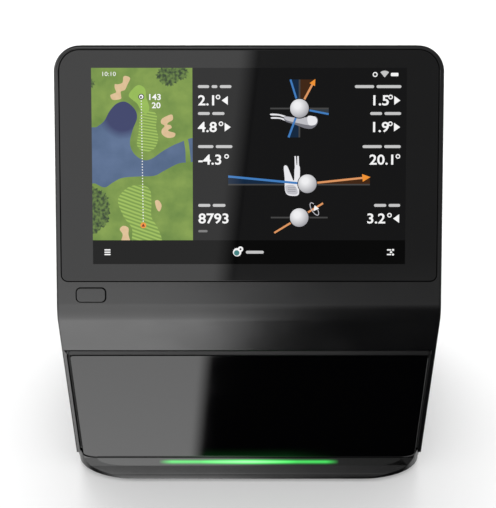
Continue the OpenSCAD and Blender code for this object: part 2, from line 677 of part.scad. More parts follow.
// Door leaf about its hinge line, with a fingernail scoop at its free edge
module door_leaf(w, h) difference() {
    union() {
        block([0, -leaf_t / 2, 0], [w, leaf_t / 2, h]);
        cylinder(r = leaf_t / 2, h = h);
    }
    translate([0, 0, -1]) cylinder(r = pin_r + wheel_fit, h = h + 2);
    translate([w, leaf_t / 2 + 6, h / 2 - 9]) cylinder(r = 7.5, h = 18);
}

module door_pin(h) translate([0, 0, 0.2 - pin_reach]) cylinder(r = pin_r, h = h + 2 * pin_reach - 0.4);

module battery_door() color([0.11, 0.11, 0.12])
    translate([battery_hinge_x, leaf_y, door_z]) door_leaf(battery_door_w, battery_door_h);

module battery_door_pin() color("silver") translate([battery_hinge_x, leaf_y, door_z]) door_pin(battery_door_h);

module port_door() color([0.11, 0.11, 0.12])
    translate([port_hinge_x, leaf_y, door_z]) mirror([1, 0, 0]) door_leaf(port_door_w, port_door_h);

module port_door_pin() color("silver") translate([port_hinge_x, leaf_y, door_z]) door_pin(port_door_h);

// ---- Ports ----

tub_x = [port_hinge_x - port_door_w + 2, port_hinge_x - 2];
tub_z = [door_z + 2, door_z + port_door_h - 2];
tub_front = back_y - 26;
port_board_y = back_y - 42;
socket_depth = tub_front + 3 - (port_board_y + board_t);

// Sockets, as [x, z, width, height]
jack_at = [90, 54, 14, 14];
video_at = [66, 64, 17, 7.6];
large_at = [66, 45, 15, 7.5];
small_at = [48, 54, 10.6, 5];

module socket_block(at, grow, y, depth) block([at[0] - at[2] / 2 - grow, y, at[1] - at[3] / 2 - grow],
    [at[0] + at[2] / 2 + grow, y + depth, at[1] + at[3] / 2 + grow]);

module port_tub() color([0.08, 0.08, 0.09]) difference() {
    block([tub_x[0], tub_front, tub_z[0]], [tub_x[1], tray_back, tub_z[1]]);
    block([tub_x[0] + 2, tub_front + 2, tub_z[0] + 2], [tub_x[1] - 2, back_y, tub_z[1] - 2]);
    for (at = [jack_at, video_at, large_at, small_at]) socket_block(at, 0.3, tub_front - 1, 4);
}

module port_board() color([0.08, 0.35, 0.2])
    block([tub_x[0], port_board_y, tub_z[0] + 3], [tub_x[1], port_board_y + board_t, tub_z[1]]);

// Socket with a thin tongue standing in its mouth
module tongue_socket(at, skin, tongue) {
    difference() {
        socket_block(at, 0, port_board_y + board_t, socket_depth);
        socket_block(at, -skin, tub_front - 6, 12);
    }
    block([at[0] - tongue.x / 2, tub_front - 6.1, at[1] - tongue.y / 2], [at[0] + tongue.x / 2, tub_front + 2, at[1] + tongue.y / 2]);
}

module video_socket() color([0.75, 0.75, 0.77]) tongue_socket(video_at, 0.9, [12, 1.2]);

module large_data_socket() color([0.75, 0.75, 0.77]) tongue_socket(large_at, 1, [11, 1.6]);

module small_data_socket() color([0.75, 0.75, 0.77]) tongue_socket(small_at, 0.8, [6.6, 0.8]);

module power_jack() color([0.1, 0.1, 0.1]) {
    difference() {
        socket_block(jack_at, 0, port_board_y + board_t, socket_depth);
        translate([jack_at[0], tub_front - 8, jack_at[1]]) rotate([-90, 0, 0]) cylinder(r = 2.9, h = 20);
    }
    translate([jack_at[0], tub_front - 8.1, jack_at[1]]) rotate([-90, 0, 0]) cylinder(r = 1, h = 10);
}

// ---- Feet ----

module wheel(side) color([0.14, 0.14, 0.15]) translate([side * foot_x, foot_y, wheel_z]) difference() {
    cylinder(r = wheel_r, h = wheel_t, $fn = 96);
    translate([0, 0, -1]) cylinder(r = stem_r + wheel_fit, h = wheel_t + 2);
    for (a = [0:15:345]) rotate([0, 0, a]) translate([wheel_r + 0.6, 0, -1]) cylinder(r = 1.3, h = wheel_t + 2, $fn = 16);
}

module foot(side) color([0.05, 0.05, 0.05]) translate([side * foot_x, foot_y, 0]) {
    cylinder(r = 13, h = foot_gap - leaf_gap);
    cylinder(r = stem_r, h = wheel_z + wheel_t + foot_travel + 2);
    translate([0, -peg_offset, 0]) cylinder(r = 1.5, h = wheel_z - leaf_gap);
}

// Arms that hold the thumbwheels down
module wheel_retainers() color([0.3, 0.3, 0.32]) for (side = [-1, 1])
    translate([side * foot_x, foot_y, 0]) difference() {
        union() {
            block([-7, -25, base_top], [7, -18.6, wheel_z + wheel_t + 2.3]);
            block([-7, -25, wheel_z + wheel_t + 0.3], [7, 7, wheel_z + wheel_t + 2.3]);
        }
        cylinder(r = stem_r + 0.4, h = 60);
        translate([0, -21.8, base_top - 1]) screw_hole(m3, 8);
    }

module front_feet() color([0.05, 0.05, 0.05]) for (at = front_foot_at) translate([at.x, at.y, 0]) {
    cylinder(r = 10, h = foot_gap);
    cylinder(r = 2.5, h = base_top);
}

// ---- Case fasteners ----

module case_screws() color("silver") for (side = [-1, 1], v = case_boss_v)
    on_face(side * (inner_x - 5), v, -split_d - seam - 4) screw(m3, 9);

module base_screws() color("silver") {
    for (at = base_screw_at) translate([at.x, at.y, foot_gap + 1.8]) screw(m3, 9);
    for (side = [-1, 1]) translate([side * foot_x, foot_y - 21.8, foot_gap]) screw([m3[0], m3[1], 1], 8);
}

front_housing();
rear_housing();
base_plate();
front_bumper();
light_bar();
status_light_board();
window_panel();
window_carrier();
cover_glass();
screen_gasket();
display_panel();
display_bracket();
bracket_screws();
display_ribbon();
main_board();
board_screws();
board_shield();
heat_sink();
fan_frame();
fan_rotor();
vent_grille();
power_button();
button_board();
handle_pocket();
handle_bar();
handle_screws();
optical_bench();
bench_screws();
camera(-1);  // camera_left
camera(0);  // camera_middle
camera(1);  // camera_right
lens(-1);  // lens_left
lens(0);  // lens_middle
lens(1);  // lens_right
strobe(-1);  // strobe_left
strobe(1);  // strobe_right
battery_tray();
battery_pack();
battery_contacts();
battery_door();
battery_door_pin();
port_tub();
port_board();
power_jack();
video_socket();
large_data_socket();
small_data_socket();
port_door();
port_door_pin();
speaker();
speaker_grille();
antenna();
wheel(-1);  // wheel_left
wheel(1);  // wheel_right
foot(-1);  // foot_left
foot(1);  // foot_right
wheel_retainers();
front_feet();
case_screws();
base_screws();
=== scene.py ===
"""Looks of the golf launch monitor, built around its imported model.

Objects are in metres. Outlines are written in millimetres and turned into metres where they are placed:
x runs to the right, v up the screen face from the bend, s along the front from the floor, and depth inward.
"""
import json
import math

import bmesh
import bpy
from mathutils import Matrix, Vector
from mathutils.geometry import delaunay_2d_cdt


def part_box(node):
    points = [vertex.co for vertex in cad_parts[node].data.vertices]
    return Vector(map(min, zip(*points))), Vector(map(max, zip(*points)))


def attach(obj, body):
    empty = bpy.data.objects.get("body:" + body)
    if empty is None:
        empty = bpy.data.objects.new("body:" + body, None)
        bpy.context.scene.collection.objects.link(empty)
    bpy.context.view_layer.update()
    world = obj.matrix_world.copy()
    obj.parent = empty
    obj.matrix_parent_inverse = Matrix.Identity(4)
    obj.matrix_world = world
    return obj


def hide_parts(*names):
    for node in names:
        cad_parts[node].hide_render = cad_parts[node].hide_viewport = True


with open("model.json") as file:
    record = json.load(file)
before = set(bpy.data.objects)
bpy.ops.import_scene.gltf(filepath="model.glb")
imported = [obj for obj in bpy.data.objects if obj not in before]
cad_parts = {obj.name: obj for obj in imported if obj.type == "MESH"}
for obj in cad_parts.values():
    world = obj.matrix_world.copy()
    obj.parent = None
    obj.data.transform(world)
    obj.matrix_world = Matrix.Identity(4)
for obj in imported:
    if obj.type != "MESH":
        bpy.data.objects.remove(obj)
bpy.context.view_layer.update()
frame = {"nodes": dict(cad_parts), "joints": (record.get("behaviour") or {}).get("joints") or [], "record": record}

MM = 0.001

# The screen face, from the power button's travel and the cover glass
press = next(j["axis"] for j in frame["joints"] if j["name"] == "power_button_press")
OUT = -Vector(press)
UP = Vector((0, OUT.z, -OUT.y))
TILT = math.asin(OUT.z)
glass_low, glass_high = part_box("cover_glass")
window_low, window_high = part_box("window_panel")

GLASS_V = 23.0
GLASS_OUT = -0.2
GLASS_T = 1.8
GLASS_W = (glass_high.x - glass_low.x) / MM
GLASS_H = ((glass_high.z - glass_low.z) / MM - GLASS_T * OUT.z) / UP.z
GLASS_R = 14.0
GLASS_LOW_R = 4.5
GLASS_MID = GLASS_V + GLASS_H / 2
GLASS_SEAM = 0.25

# The front housing
HALF_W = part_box("front_housing")[1].x / MM
HOUSING_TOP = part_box("front_housing")[1].z / MM
WINDOW_RECESS = 1.5  # in CAD
FRONT_Y = window_low.y / MM - WINDOW_RECESS
BEND_Z = glass_high.z / MM - (GLASS_V + GLASS_H) * UP.z - GLASS_OUT * OUT.z
BEND_R = 20.0
WALL = 2.5
SIDE_DEPTH = 16.0
FACE_EDGE_R = 2.2
WALL_EDGE_R = 1.0
HEAD_R = 18.0
BODY_BOTTOM = 4.0
BUMPER_TOP = 22.0
BUMPER_BACK = 10.2

# Lengths along the front, from the floor up
BEND_START = BEND_Z - BEND_R * math.tan(TILT / 2)
BEND_END = BEND_START + BEND_R * TILT
FACE_S = BEND_END - BEND_R * math.tan(TILT / 2)
TOP_S = FACE_S + (HOUSING_TOP - BEND_Z - FACE_EDGE_R * (1 - UP.z - OUT.z)) / UP.z

# The power button's hole, and the camera window with its opening
BUTTON_AT = (-109.5, 13.4)
BUTTON_HOLE = (20.6, 10.0, 3.1)
OPENING_TOP = 143.2
WINDOW_CUT = HALF_W - 2.8
WINDOW_GLASS_TOP = window_high.z / MM
WINDOW_GLASS_LOW = window_low.z / MM
WINDOW_GLASS_HALF = 128.7

# The lit picture
PICTURE_LEFT, PICTURE_RIGHT = -107.8, 107.8
PICTURE_LOW, PICTURE_HIGH = 34.9, 169.6
BAR_TOP = 51.5
MAP_RIGHT = -38.7
TEXT_LEFT = -35.0
TEXT_RIGHT = 104.1
BALLS = {"ball_above": (34.5, 142.1), "ball_side": (40.1, 90.5), "ball_spin": (34.6, 67.2)}
BALL_R = 6.4
DIGIT_STRETCH = 1.12
DIGIT_CAP = 0.729


def on_face(x, v, out=0.0):
    """Point on the screen face, in metres."""
    return Vector((x, FRONT_Y, BEND_Z)) * MM + (v * UP + out * OUT) * MM


def on_front(x, s, depth=0.0):
    """Point on the bent front of the body, or depth behind it, in metres."""
    if s <= BEND_START:
        point, normal = Vector((0, FRONT_Y, s)), Vector((0, -1, 0))
    elif s < BEND_END:
        angle = (s - BEND_START) / BEND_R
        normal = Vector((0, -math.cos(angle), math.sin(angle)))
        point = Vector((0, FRONT_Y + BEND_R, BEND_START)) + BEND_R * normal
    else:
        point, normal = Vector((0, FRONT_Y, BEND_Z)) + (s - FACE_S) * UP, OUT
    return (point - depth * normal + Vector((x, 0, 0))) * MM


def srgb(red, green, blue):
    """Linear colour of an 8-bit screen colour."""
    parts = (red / 255, green / 255, blue / 255)
    return (*(c / 12.92 if c <= 0.04045 else ((c + 0.055) / 1.055) ** 2.4 for c in parts), 1)


def shade(colour, factor):
    return (*(c * factor for c in colour[:3]), 1)


class Graph:
    """The nodes of a material or of the world. A value is a number, a colour, a vector or a socket."""

    def __init__(self, owner, empty=False):
        owner.use_nodes = True
        self.owner = owner
        self.nodes, self.links = owner.node_tree.nodes, owner.node_tree.links
        if empty:
            self.nodes.clear()

    def put(self, node, inputs):
        for name, value in inputs.items():
            if isinstance(value, bpy.types.NodeSocket):
                self.links.new(value, node.inputs[name])
            else:
                node.inputs[name].default_value = value

    def add(self, kind, inputs=None, output=0, **settings):
        """Adds a node, and returns one of its outputs."""
        node = self.nodes.new("ShaderNode" + kind)
        for name, value in settings.items():
            setattr(node, name, value)
        self.put(node, inputs or {})
        return node.outputs[output] if node.outputs else None

    def surface(self, inputs):
        self.put(self.nodes["Principled BSDF"], inputs)

    def coords(self):
        return self.add("TexCoord", output="Object")

    def axis(self, name, coords=None):
        return self.add("SeparateXYZ", {0: coords or self.coords()}, name)

    def math(self, operation, first, second=None):
        inputs = {0: first} if second is None else {0: first, 1: second}
        return self.add("Math", inputs, operation=operation)

    def range(self, value, low, high, start=0.3, end=0.7):
        """Value as a share of the way from start to end, turned into a number from low to high."""
        inputs = {"Value": value, "From Min": start, "From Max": end, "To Min": low, "To Max": high}
        return self.add("MapRange", inputs, "Result")

    def noise(self, size, detail, coords=None):
        """Noise whose features are about size metres across."""
        inputs = {"Scale": 1 / size, "Detail": detail, "Vector": coords or self.coords()}
        return self.add("TexNoise", inputs, "Fac")

    def mix(self, factor, first, second):
        return self.add("Mix", {"Factor": factor, "A": first, "B": second}, "Result", data_type="RGBA")

    def ramp(self, value, stops):
        """Colour that passes through stops of (value, colour)."""
        colour = self.add("ValToRGB", {"Fac": value}, "Color")
        marks = colour.node.color_ramp.elements
        for i, (place, shown) in enumerate(stops):
            mark = marks[i] if i < 2 else marks.new(place)
            mark.position = place
            mark.color = shown
        return colour

    def bump(self, height, strength, relief):
        return self.add("Bump", {"Height": height, "Strength": strength, "Distance": relief * MM})


# ---- Camera, floor and light ----

CAMERA_AT = (-0.0007, -0.7341, 0.9533)
CAMERA_FORWARD = (0, 0.6858, -0.7278)
CAMERA_UP = (0, 0.7278, 0.6858)
CAMERA_LENS = 103.8
FLOOR_REACH = 6
FLOOR_LIFT = 0.11
CARD_LEFT = -1.7


def make_camera():
    data = bpy.data.cameras.new("camera")
    data.lens = CAMERA_LENS
    camera = bpy.data.objects.new("camera", data)
    bpy.context.scene.collection.objects.link(camera)
    forward, up = Vector(CAMERA_FORWARD).normalized(), Vector(CAMERA_UP).normalized()
    turn = Matrix((forward.cross(up), up, -forward)).transposed()
    camera.matrix_world = Matrix.Translation(CAMERA_AT) @ turn.to_4x4()
    bpy.context.scene.camera = camera


def add_mesh(name, verts, faces):
    mesh = bpy.data.meshes.new(name)
    mesh.from_pydata([tuple(v) for v in verts], [], faces)
    piece = bpy.data.objects.new(name, mesh)
    bpy.context.scene.collection.objects.link(piece)
    return piece


def make_floor():
    """Pale floor, lifted a little towards white for the camera, that reflections don't see."""
    corners = ((-1, -1), (1, -1), (1, 1), (-1, 1))
    floor = add_mesh("floor", [(x * FLOOR_REACH, y * FLOOR_REACH, 0) for x, y in corners], [(0, 1, 2, 3)])
    graph = Graph(bpy.data.materials.new("floor"), empty=True)
    strength = graph.math("MULTIPLY", graph.add("LightPath", output="Is Camera Ray"), FLOOR_LIFT)
    lift = graph.add("Emission", {"Color": (1, 1, 1, 1), "Strength": strength})
    diffuse = graph.add("BsdfDiffuse", {"Color": (0.8, 0.8, 0.8, 1)})
    graph.add("OutputMaterial", {"Surface": graph.add("AddShader", {0: diffuse, 1: lift})})
    floor.data.materials.append(graph.owner)
    floor.visible_glossy = False


def make_world():
    """White to the camera, even light on surfaces, and a dim room with a bright floor in reflections."""
    world = bpy.data.worlds.new("studio")
    bpy.context.scene.world = world
    graph = Graph(world)
    way = graph.add("TexCoord", output="Generated")
    x, y, z = (graph.axis(name, way) for name in "XYZ")
    levels = ((0, 0), (0.56, 0), (0.64, 0.1), (0.72, 0.25), (0.75, 0.5), (0.765, 0.5), (0.785, 0.25),
              (0.87, 0.25), (0.9, 0.4), (0.99, 0.5))
    greys = [(place, (level, level, level, 1)) for place, level in levels]
    room = graph.ramp(graph.range(z, 0, 1, -1, 1), greys)
    back_wall = graph.range(y, 1, 0.3, 0.15, 0.5)
    away = graph.math("ADD", y, graph.math("MULTIPLY", graph.math("ABSOLUTE", x), 0.5))
    beside = graph.range(away, 0, 0.6, 0.05, 0.35)
    under = graph.range(z, 1, 0, -0.1, 0.1)
    seen = graph.math("ADD", graph.math("MULTIPLY", room, back_wall), graph.math("MULTIPLY", beside, under))
    glossy = graph.add("LightPath", output="Is Glossy Ray")
    graph.put(graph.nodes["Background"], {"Color": graph.mix(glossy, (1, 1, 1, 1), seen), "Strength": 1})


def add_card(name, verts, faces, strength=None):
    """A softbox that only reflections see. It glows by its strength, or else by its glow attribute."""
    card = add_mesh(name, verts, faces)
    graph = Graph(bpy.data.materials.new(name), empty=True)
    if strength is None:
        strength = graph.add("Attribute", output="Fac", attribute_name="glow")
    emission = graph.add("Emission", {"Strength": strength})
    graph.add("OutputMaterial", {"Surface": emission})
    card.data.materials.append(graph.owner)
    card.visible_camera = False
    card.visible_diffuse = False
    card.visible_shadow = False
    card.visible_transmission = False
    return card


def bent_softbox(name, rows):
    """Softbox in front of the body or over it, bent along x, with a soft right edge.

    Each row is (y, z, middle of the edge, half the edge's width, strength), and all lengths are in metres.
    """
    verts = [(x, y, z) for y, z, edge, soft, _ in rows for x in (CARD_LEFT, edge - soft, edge + soft)]
    starts = [3 * i + k for i in range(len(rows) - 1) for k in (0, 1)]
    card = add_card(name, verts, [(a, a + 1, a + 4, a + 3) for a in starts])
    glow = card.data.attributes.new("glow", "FLOAT", "POINT")
    glow.data.foreach_set("value", [level for *_, strength in rows for level in (strength, strength, 0)])


def make_softboxes():
    """One for the screen, ledge and window, one for the upper edge and the chin, and one for the sides."""
    front = ((-1.95, -0.15, 0.02, 2.4), (-1.717, -0.115, 0.014, 2.4), (-1.367, -0.086, 0.014, 2.5),
             (-1.3, -0.02, 0.03, 3.1), (-0.5, 0.0, 0.05, 2.6), (0.3, 0.0, 0.05, 2.3),
             (0.95, 0.03, 0.05, 2.4), (1.02, -0.045, 0.018, 1.75), (1.58, 0.005, 0.018, 1.65),
             (1.75, 0.02, 0.02, 1.65))
    bent_softbox("left_softbox", [(-1.3, *row) for row in front])
    bent_softbox("top_softbox", [(0.2, 2.4, 0.06, 0.15, 2.6), (-0.6, 2.4, 0.06, 0.15, 2.6)])
    upright = [(CARD_LEFT, y, z) for y, z in ((-1.2, 0.4), (0.8, 0.4), (0.8, 2.2), (-1.2, 2.2))]
    add_card("side_softbox", upright, [(0, 1, 2, 3)], 1.6)


def area_light(name, at, target, size, power):
    data = bpy.data.lights.new(name, "AREA")
    data.size = size
    data.energy = power
    lamp = bpy.data.objects.new(name, data)
    bpy.context.scene.collection.objects.link(lamp)
    lamp.location = at
    lamp.rotation_euler = (Vector(target) - Vector(at)).to_track_quat("-Z", "Y").to_euler()
    lamp.visible_glossy = False


# ---- Materials ----

SCREEN_IOR = 1.46
SCREEN_GLOSS = 0.03

# Moulded slots: colour, roughness, size of the grain in metres, relief in millimetres, IOR
MOULDED = {
    "housing": ((0.004, 0.004, 0.0043), 0.17, 0.0005, 0.04, 1.55),
    "button": ((0.004, 0.004, 0.0043), 0.17, 0.0005, 0.04, 1.55),
    "bumper": ((0.004, 0.004, 0.0043), 0.2, 0.0005, 0.04, 1.55),
    # gap: painted shade, the housing's plastic made darker, rougher and less reflective on the cut walls of its
    # openings
    "gap": ((0.002, 0.002, 0.002), 0.75, 0.0005, 0.04, 1.2),
    "rear_shell": ((0.016, 0.016, 0.018), 0.5, 0.0007, 0.08),
    "base": ((0.014, 0.014, 0.016), 0.55, 0.0007, 0.08),
    "inner_black": ((0.003, 0.003, 0.0032), 0.42),
    "gasket": ((0.01, 0.01, 0.01), 0.8, 0.0012, 0.15),
    "ribbon": ((0.42, 0.2, 0.04), 0.4, 0.002, 0.03),
    "fan_plastic": ((0.02, 0.02, 0.022), 0.45),
    "grille": ((0.013, 0.013, 0.014), 0.5, 0.0007, 0.06),
    "handle": ((0.012, 0.012, 0.013), 0.7, 0.0014, 0.25),
    "bench_metal": ((0.02, 0.02, 0.022), 0.45, 0.001, 0.05),
    "camera_body": ((0.02, 0.02, 0.022), 0.4, 0.001, 0.04),
    "battery": ((0.03, 0.03, 0.034), 0.5, 0.0008, 0.06),
    "door": ((0.017, 0.017, 0.019), 0.5, 0.0007, 0.08),
    "jack": ((0.01, 0.01, 0.01), 0.4),
    "speaker": ((0.02, 0.02, 0.02), 0.7, 0.001, 0.15),
    "thumbwheel": ((0.02, 0.02, 0.021), 0.45),
    "rubber_foot": ((0.009, 0.009, 0.009), 0.8, 0.001, 0.1),
}

# Polished slots: colour, roughness
POLISHED = {
    "window": ((0.0008, 0.0008, 0.001), 0.03),
    "cover_glass": ((0.004, 0.004, 0.0042), SCREEN_GLOSS),
    "display": ((0.01, 0.01, 0.011), 0.15),
    "lens": ((0.02, 0.03, 0.09), 0.02),
}

# Metal slots: colour, roughness, how the streaks are squeezed along x, y and z
METALS = {
    "sheet_metal": ((0.55, 0.56, 0.58), 0.38, (1, 30, 1)),
    "screw_steel": ((0.5, 0.5, 0.52), 0.32, (20, 20, 20)),
    "heat_sink": ((0.42, 0.43, 0.45), 0.42, (1, 1, 30)),
    "contact_brass": ((0.7, 0.48, 0.18), 0.3, (1, 1, 30)),
    "socket_metal": ((0.6, 0.6, 0.62), 0.28, (1, 1, 30)),
}


def moulded(name, colour, roughness, grain=0.0005, relief=0.04, ior=1.46):
    """Moulded plastic or rubber: fine spark-eroded grain, a little cloudiness, uneven gloss."""
    graph = Graph(bpy.data.materials.new(name))
    cloud = graph.noise(0.03, 4)
    graph.surface({
        "IOR": ior,
        "Base Color": graph.mix(graph.range(cloud, 0, 1), shade(colour, 0.86), shade(colour, 1.14)),
        "Roughness": graph.range(cloud, roughness - 0.03, roughness + 0.03),
        "Normal": graph.bump(graph.noise(grain, 2), 0.35, relief)})
    return graph.owner


def polished(name, colour, roughness):
    """Glossy glass or acrylic with faint smudges in its gloss."""
    graph = Graph(bpy.data.materials.new(name))
    smudge = graph.noise(0.05, 5)
    haze = 0.02
    graph.surface({
        "IOR": SCREEN_IOR,
        "Base Color": graph.mix(smudge, shade(colour, 0.9), shade(colour, 1.1)),
        "Roughness": graph.range(smudge, roughness, roughness + haze)})
    return graph.owner


def metal(name, colour, roughness, squeeze):
    """Brushed, rolled or plated metal with fine streaks."""
    graph = Graph(bpy.data.materials.new(name))
    streak = graph.noise(0.004, 4, graph.add("Mapping", {"Scale": squeeze, "Vector": graph.coords()}))
    graph.surface({
        "Metallic": 1,
        "Base Color": graph.mix(streak, shade(colour, 0.85), shade(colour, 1.1)),
        "Roughness": graph.range(streak, roughness - 0.06, roughness + 0.08),
        "Normal": graph.bump(streak, 0.3, 0.01)})
    return graph.owner


def circuit():
    """Green solder mask over faint copper tracks."""
    graph = Graph(bpy.data.materials.new("circuit_board"))
    tracks = graph.add("TexBrick", {
        "Vector": graph.coords(), "Scale": 220, "Mortar Size": 0.03, "Color1": (0.012, 0.11, 0.045, 1),
        "Color2": (0.016, 0.14, 0.055, 1), "Mortar": (0.05, 0.24, 0.09, 1)}, "Color")
    graph.surface({"Base Color": tracks,
                   "Roughness": graph.range(tracks.node.outputs["Fac"], 0.28, 0.4, 0, 1)})
    return graph.owner


def face_coords(graph):
    """(x, v, out) on the screen face, in metres."""
    return graph.add("Mapping", {"Rotation": (TILT - math.pi / 2, 0, 0), "Vector": graph.coords(),
                                 "Location": (0, -on_face(0, 0).dot(UP), 0)})


def face_distance(graph, x, v):
    """Distance along the screen face from a point, in metres."""
    flat = graph.add("VectorMath", {0: face_coords(graph), 1: (1, 1, 0)}, operation="MULTIPLY")
    return graph.add("VectorMath", {0: flat, 1: (x * MM, v * MM, 0)}, "Value", operation="DISTANCE")


def lit(name, colour=None, paint=None, gloss=0.31):
    """A lit part of the picture under glossy glass, with a colour or with paint(graph)."""
    graph = Graph(bpy.data.materials.new(name))
    graph.surface({
        "Base Color": (0, 0, 0, 1), "Roughness": SCREEN_GLOSS, "IOR": SCREEN_IOR,
        "Specular IOR Level": gloss, "Emission Strength": 1,
        "Emission Color": paint(graph) if paint else colour})
    return graph.owner


def paint_patches(size, detail, start, end, dark, light):
    """Cloudy patches between two colours."""
    def paint(graph):
        patches = graph.noise(size, detail, face_coords(graph))
        return graph.mix(graph.range(patches, 0, 1, start, end), srgb(*dark), srgb(*light))
    return paint


def paint_water(graph):
    """Deep water near the pond's upper end, paler along the stream."""
    near = graph.range(face_distance(graph, -86.5, 138), 0, 1, 11 * MM, 17 * MM)
    ripple = graph.noise(0.02, 3, face_coords(graph))
    stream = graph.mix(graph.range(ripple, 0, 1), srgb(66, 90, 124), srgb(88, 110, 146))
    return graph.mix(near, srgb(44, 52, 98), stream)


def paint_mown(angle, spacing):
    """Mown stripes across a fairway."""
    def paint(graph):
        turn = {"Rotation": (0, 0, math.radians(angle)), "Vector": face_coords(graph)}
        look = {"Vector": graph.add("Mapping", turn), "Scale": math.pi / 10 / spacing, "Distortion": 0.6}
        wave = graph.add("TexWave", look, "Fac", bands_direction="Y")
        return graph.mix(wave, srgb(112, 146, 60), srgb(160, 192, 88))
    return paint


def paint_ball(centre):
    """A white ball, shaded towards its lower edge."""
    def paint(graph):
        edge = graph.range(face_distance(graph, centre[0] - 1.5, centre[1] + 2), 0, 1, 2 * MM, 9 * MM)
        return graph.mix(edge, srgb(238, 238, 240), srgb(150, 150, 156))
    return paint


def glow_bar():
    """Smoked light bar: a green line glows along it, brightest in the middle, and fades at both ends."""
    graph = Graph(bpy.data.materials.new("light_bar"))
    low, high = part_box("light_bar")
    line_z = (low.z + high.z) / 2 + 0.8 * MM
    side = graph.math("ABSOLUTE", graph.axis("X"))
    along = graph.math("ADD", graph.range(side, 0.38, 0, 60 * MM, 70 * MM),
                       graph.range(side, 0.62, 0, 4 * MM, 38 * MM))
    off = graph.math("ABSOLUTE", graph.math("SUBTRACT", graph.axis("Z"), line_z))
    across = graph.range(off, 1, 0, 0.3 * MM, 2.2 * MM)
    level = graph.math("MULTIPLY", along, graph.math("POWER", across, 2))
    glow = graph.ramp(level, [(0, (0, 0, 0, 1)), (0.45, (0.04, 0.55, 0.08, 1)), (1, (0.22, 0.75, 0.26, 1))])
    graph.surface({"Base Color": (0.003, 0.0035, 0.0032, 1), "IOR": 1.7, "Roughness": 0.15,
                   "Emission Strength": 1.6, "Emission Color": glow})
    return graph.owner


def add_painted_bar_glow(material):
    """Faint green glow painted along the foot of the camera window: painted light that stands in for the light
    bar's light, in glass that gives none of its own.
    """
    graph = Graph(material)
    along = graph.range(graph.math("ABSOLUTE", graph.axis("X")), 1, 0, 30 * MM, 75 * MM)
    height = graph.range(graph.axis("Z"), 1, 0, window_low.z, window_low.z + 14 * MM)
    fade = graph.math("POWER", graph.math("MULTIPLY", along, height), 2)
    glow = graph.mix(fade, (0, 0, 0, 1), (0.002, 0.02, 0.004, 1))
    # painted light: emission in the window glass for the light bar's glow
    graph.surface({"Emission Strength": 1, "Emission Color": glow})


def slot_materials():
    """One material for each material slot of the record, and one, gap, that paints shade on the walls of the gaps
    between pieces.
    """
    made = {"light_bar": glow_bar(), "circuit_board": circuit()}
    for make, table in ((moulded, MOULDED), (polished, POLISHED), (metal, METALS)):
        made.update({name: make(name, *values) for name, values in table.items()})
    # paints the light bar's green glow into the window glass
    add_painted_bar_glow(made["window"])
    return made


# ---- Mesh helpers ----

SAME_PLACE = 2e-6  # points this near are merged, in metres
SAME_DRAWN = 1e-4  # and in a drawing, in millimetres


def arc(centre, radius, start, end, steps):
    """Points on an arc from start to end, in degrees."""
    turns = [math.radians(start + (end - start) * i / steps) for i in range(steps + 1)]
    return [(centre[0] + radius * math.cos(t), centre[1] + radius * math.sin(t)) for t in turns]


def rounded(width, height, radius, steps=8, centre=(0, 0)):
    """Rounded rectangle, anticlockwise."""
    x, y = width / 2 - radius, height / 2 - radius
    corners = ((-x, -y, 180), (x, -y, 270), (x, y, 0), (-x, y, 90))
    return [p for cx, cy, a in corners
            for p in arc((centre[0] + cx, centre[1] + cy), radius, a, a + 90, steps)]


def stack(name, loops):
    """Closed solid through loops of the same number of points."""
    count = len(loops[0])
    faces = [tuple(reversed(range(count))), tuple(range((len(loops) - 1) * count, len(loops) * count))]
    for i in range(len(loops) - 1):
        for j in range(count):
            k = (j + 1) % count
            faces.append((i * count + j, i * count + k, (i + 1) * count + k, (i + 1) * count + j))
    piece = add_mesh(name, [v for loop in loops for v in loop], faces)
    tidy_mesh(piece)
    return piece


def tidy_mesh(piece):
    work = bmesh.new()
    work.from_mesh(piece.data)
    bmesh.ops.remove_doubles(work, verts=work.verts, dist=SAME_PLACE)
    bmesh.ops.recalc_face_normals(work, faces=work.faces)
    work.to_mesh(piece.data)
    work.free()


def smooth(piece, angle=32):
    """Smooth shading with creases above the angle, led by the larger faces."""
    piece.data.shade_smooth()
    piece.data.set_sharp_from_angle(angle=math.radians(angle))
    weigh = piece.modifiers.new("weigh", "WEIGHTED_NORMAL")
    weigh.keep_sharp = True
    weigh.weight = 50


def cut(piece, *tools):
    """Takes the tools out of a piece, and removes them."""
    for tool in tools:
        change = piece.modifiers.new("cut", "BOOLEAN")
        change.operation = "DIFFERENCE"
        change.solver = "EXACT"
        change.material_mode = "TRANSFER"
        change.object = tool
    bpy.context.view_layer.update()
    done = bpy.data.meshes.new_from_object(piece.evaluated_get(bpy.context.evaluated_depsgraph_get()))
    piece.modifiers.clear()
    piece.data = done
    for tool in tools:
        bpy.data.objects.remove(tool)


def weld(piece):
    piece.modifiers.new("weld", "WELD").merge_threshold = SAME_PLACE


def soften(node, width, angle=30):
    """Rounds the sharp edges of a CAD node by modifiers."""
    piece = frame["nodes"][node]
    weld(piece)
    flat = piece.modifiers.new("flat", "DECIMATE")
    flat.decimate_type = "DISSOLVE"
    flat.angle_limit = math.radians(0.5)
    edge = piece.modifiers.new("edge", "BEVEL")
    edge.width = width * MM
    edge.segments = 2
    edge.limit_method = "ANGLE"
    edge.angle_limit = math.radians(angle)
    weigh = piece.modifiers.new("weigh", "WEIGHTED_NORMAL")
    weigh.weight = 50


def lift(node, amount):
    """Moves the faces of a CAD node outward a little, clear of faces that are level with them."""
    piece = frame["nodes"][node]
    weld(piece)
    swell = piece.modifiers.new("swell", "DISPLACE")
    swell.mid_level = 0
    swell.strength = amount * MM


def edge_round(radius, steps=3):
    """(growth, out) pairs that round a pocket's upper edge."""
    turns = [math.radians(90 * i / steps) for i in range(steps + 1)]
    return [(radius * (1 - math.sin(t)), radius * (math.cos(t) - 1)) for t in turns]


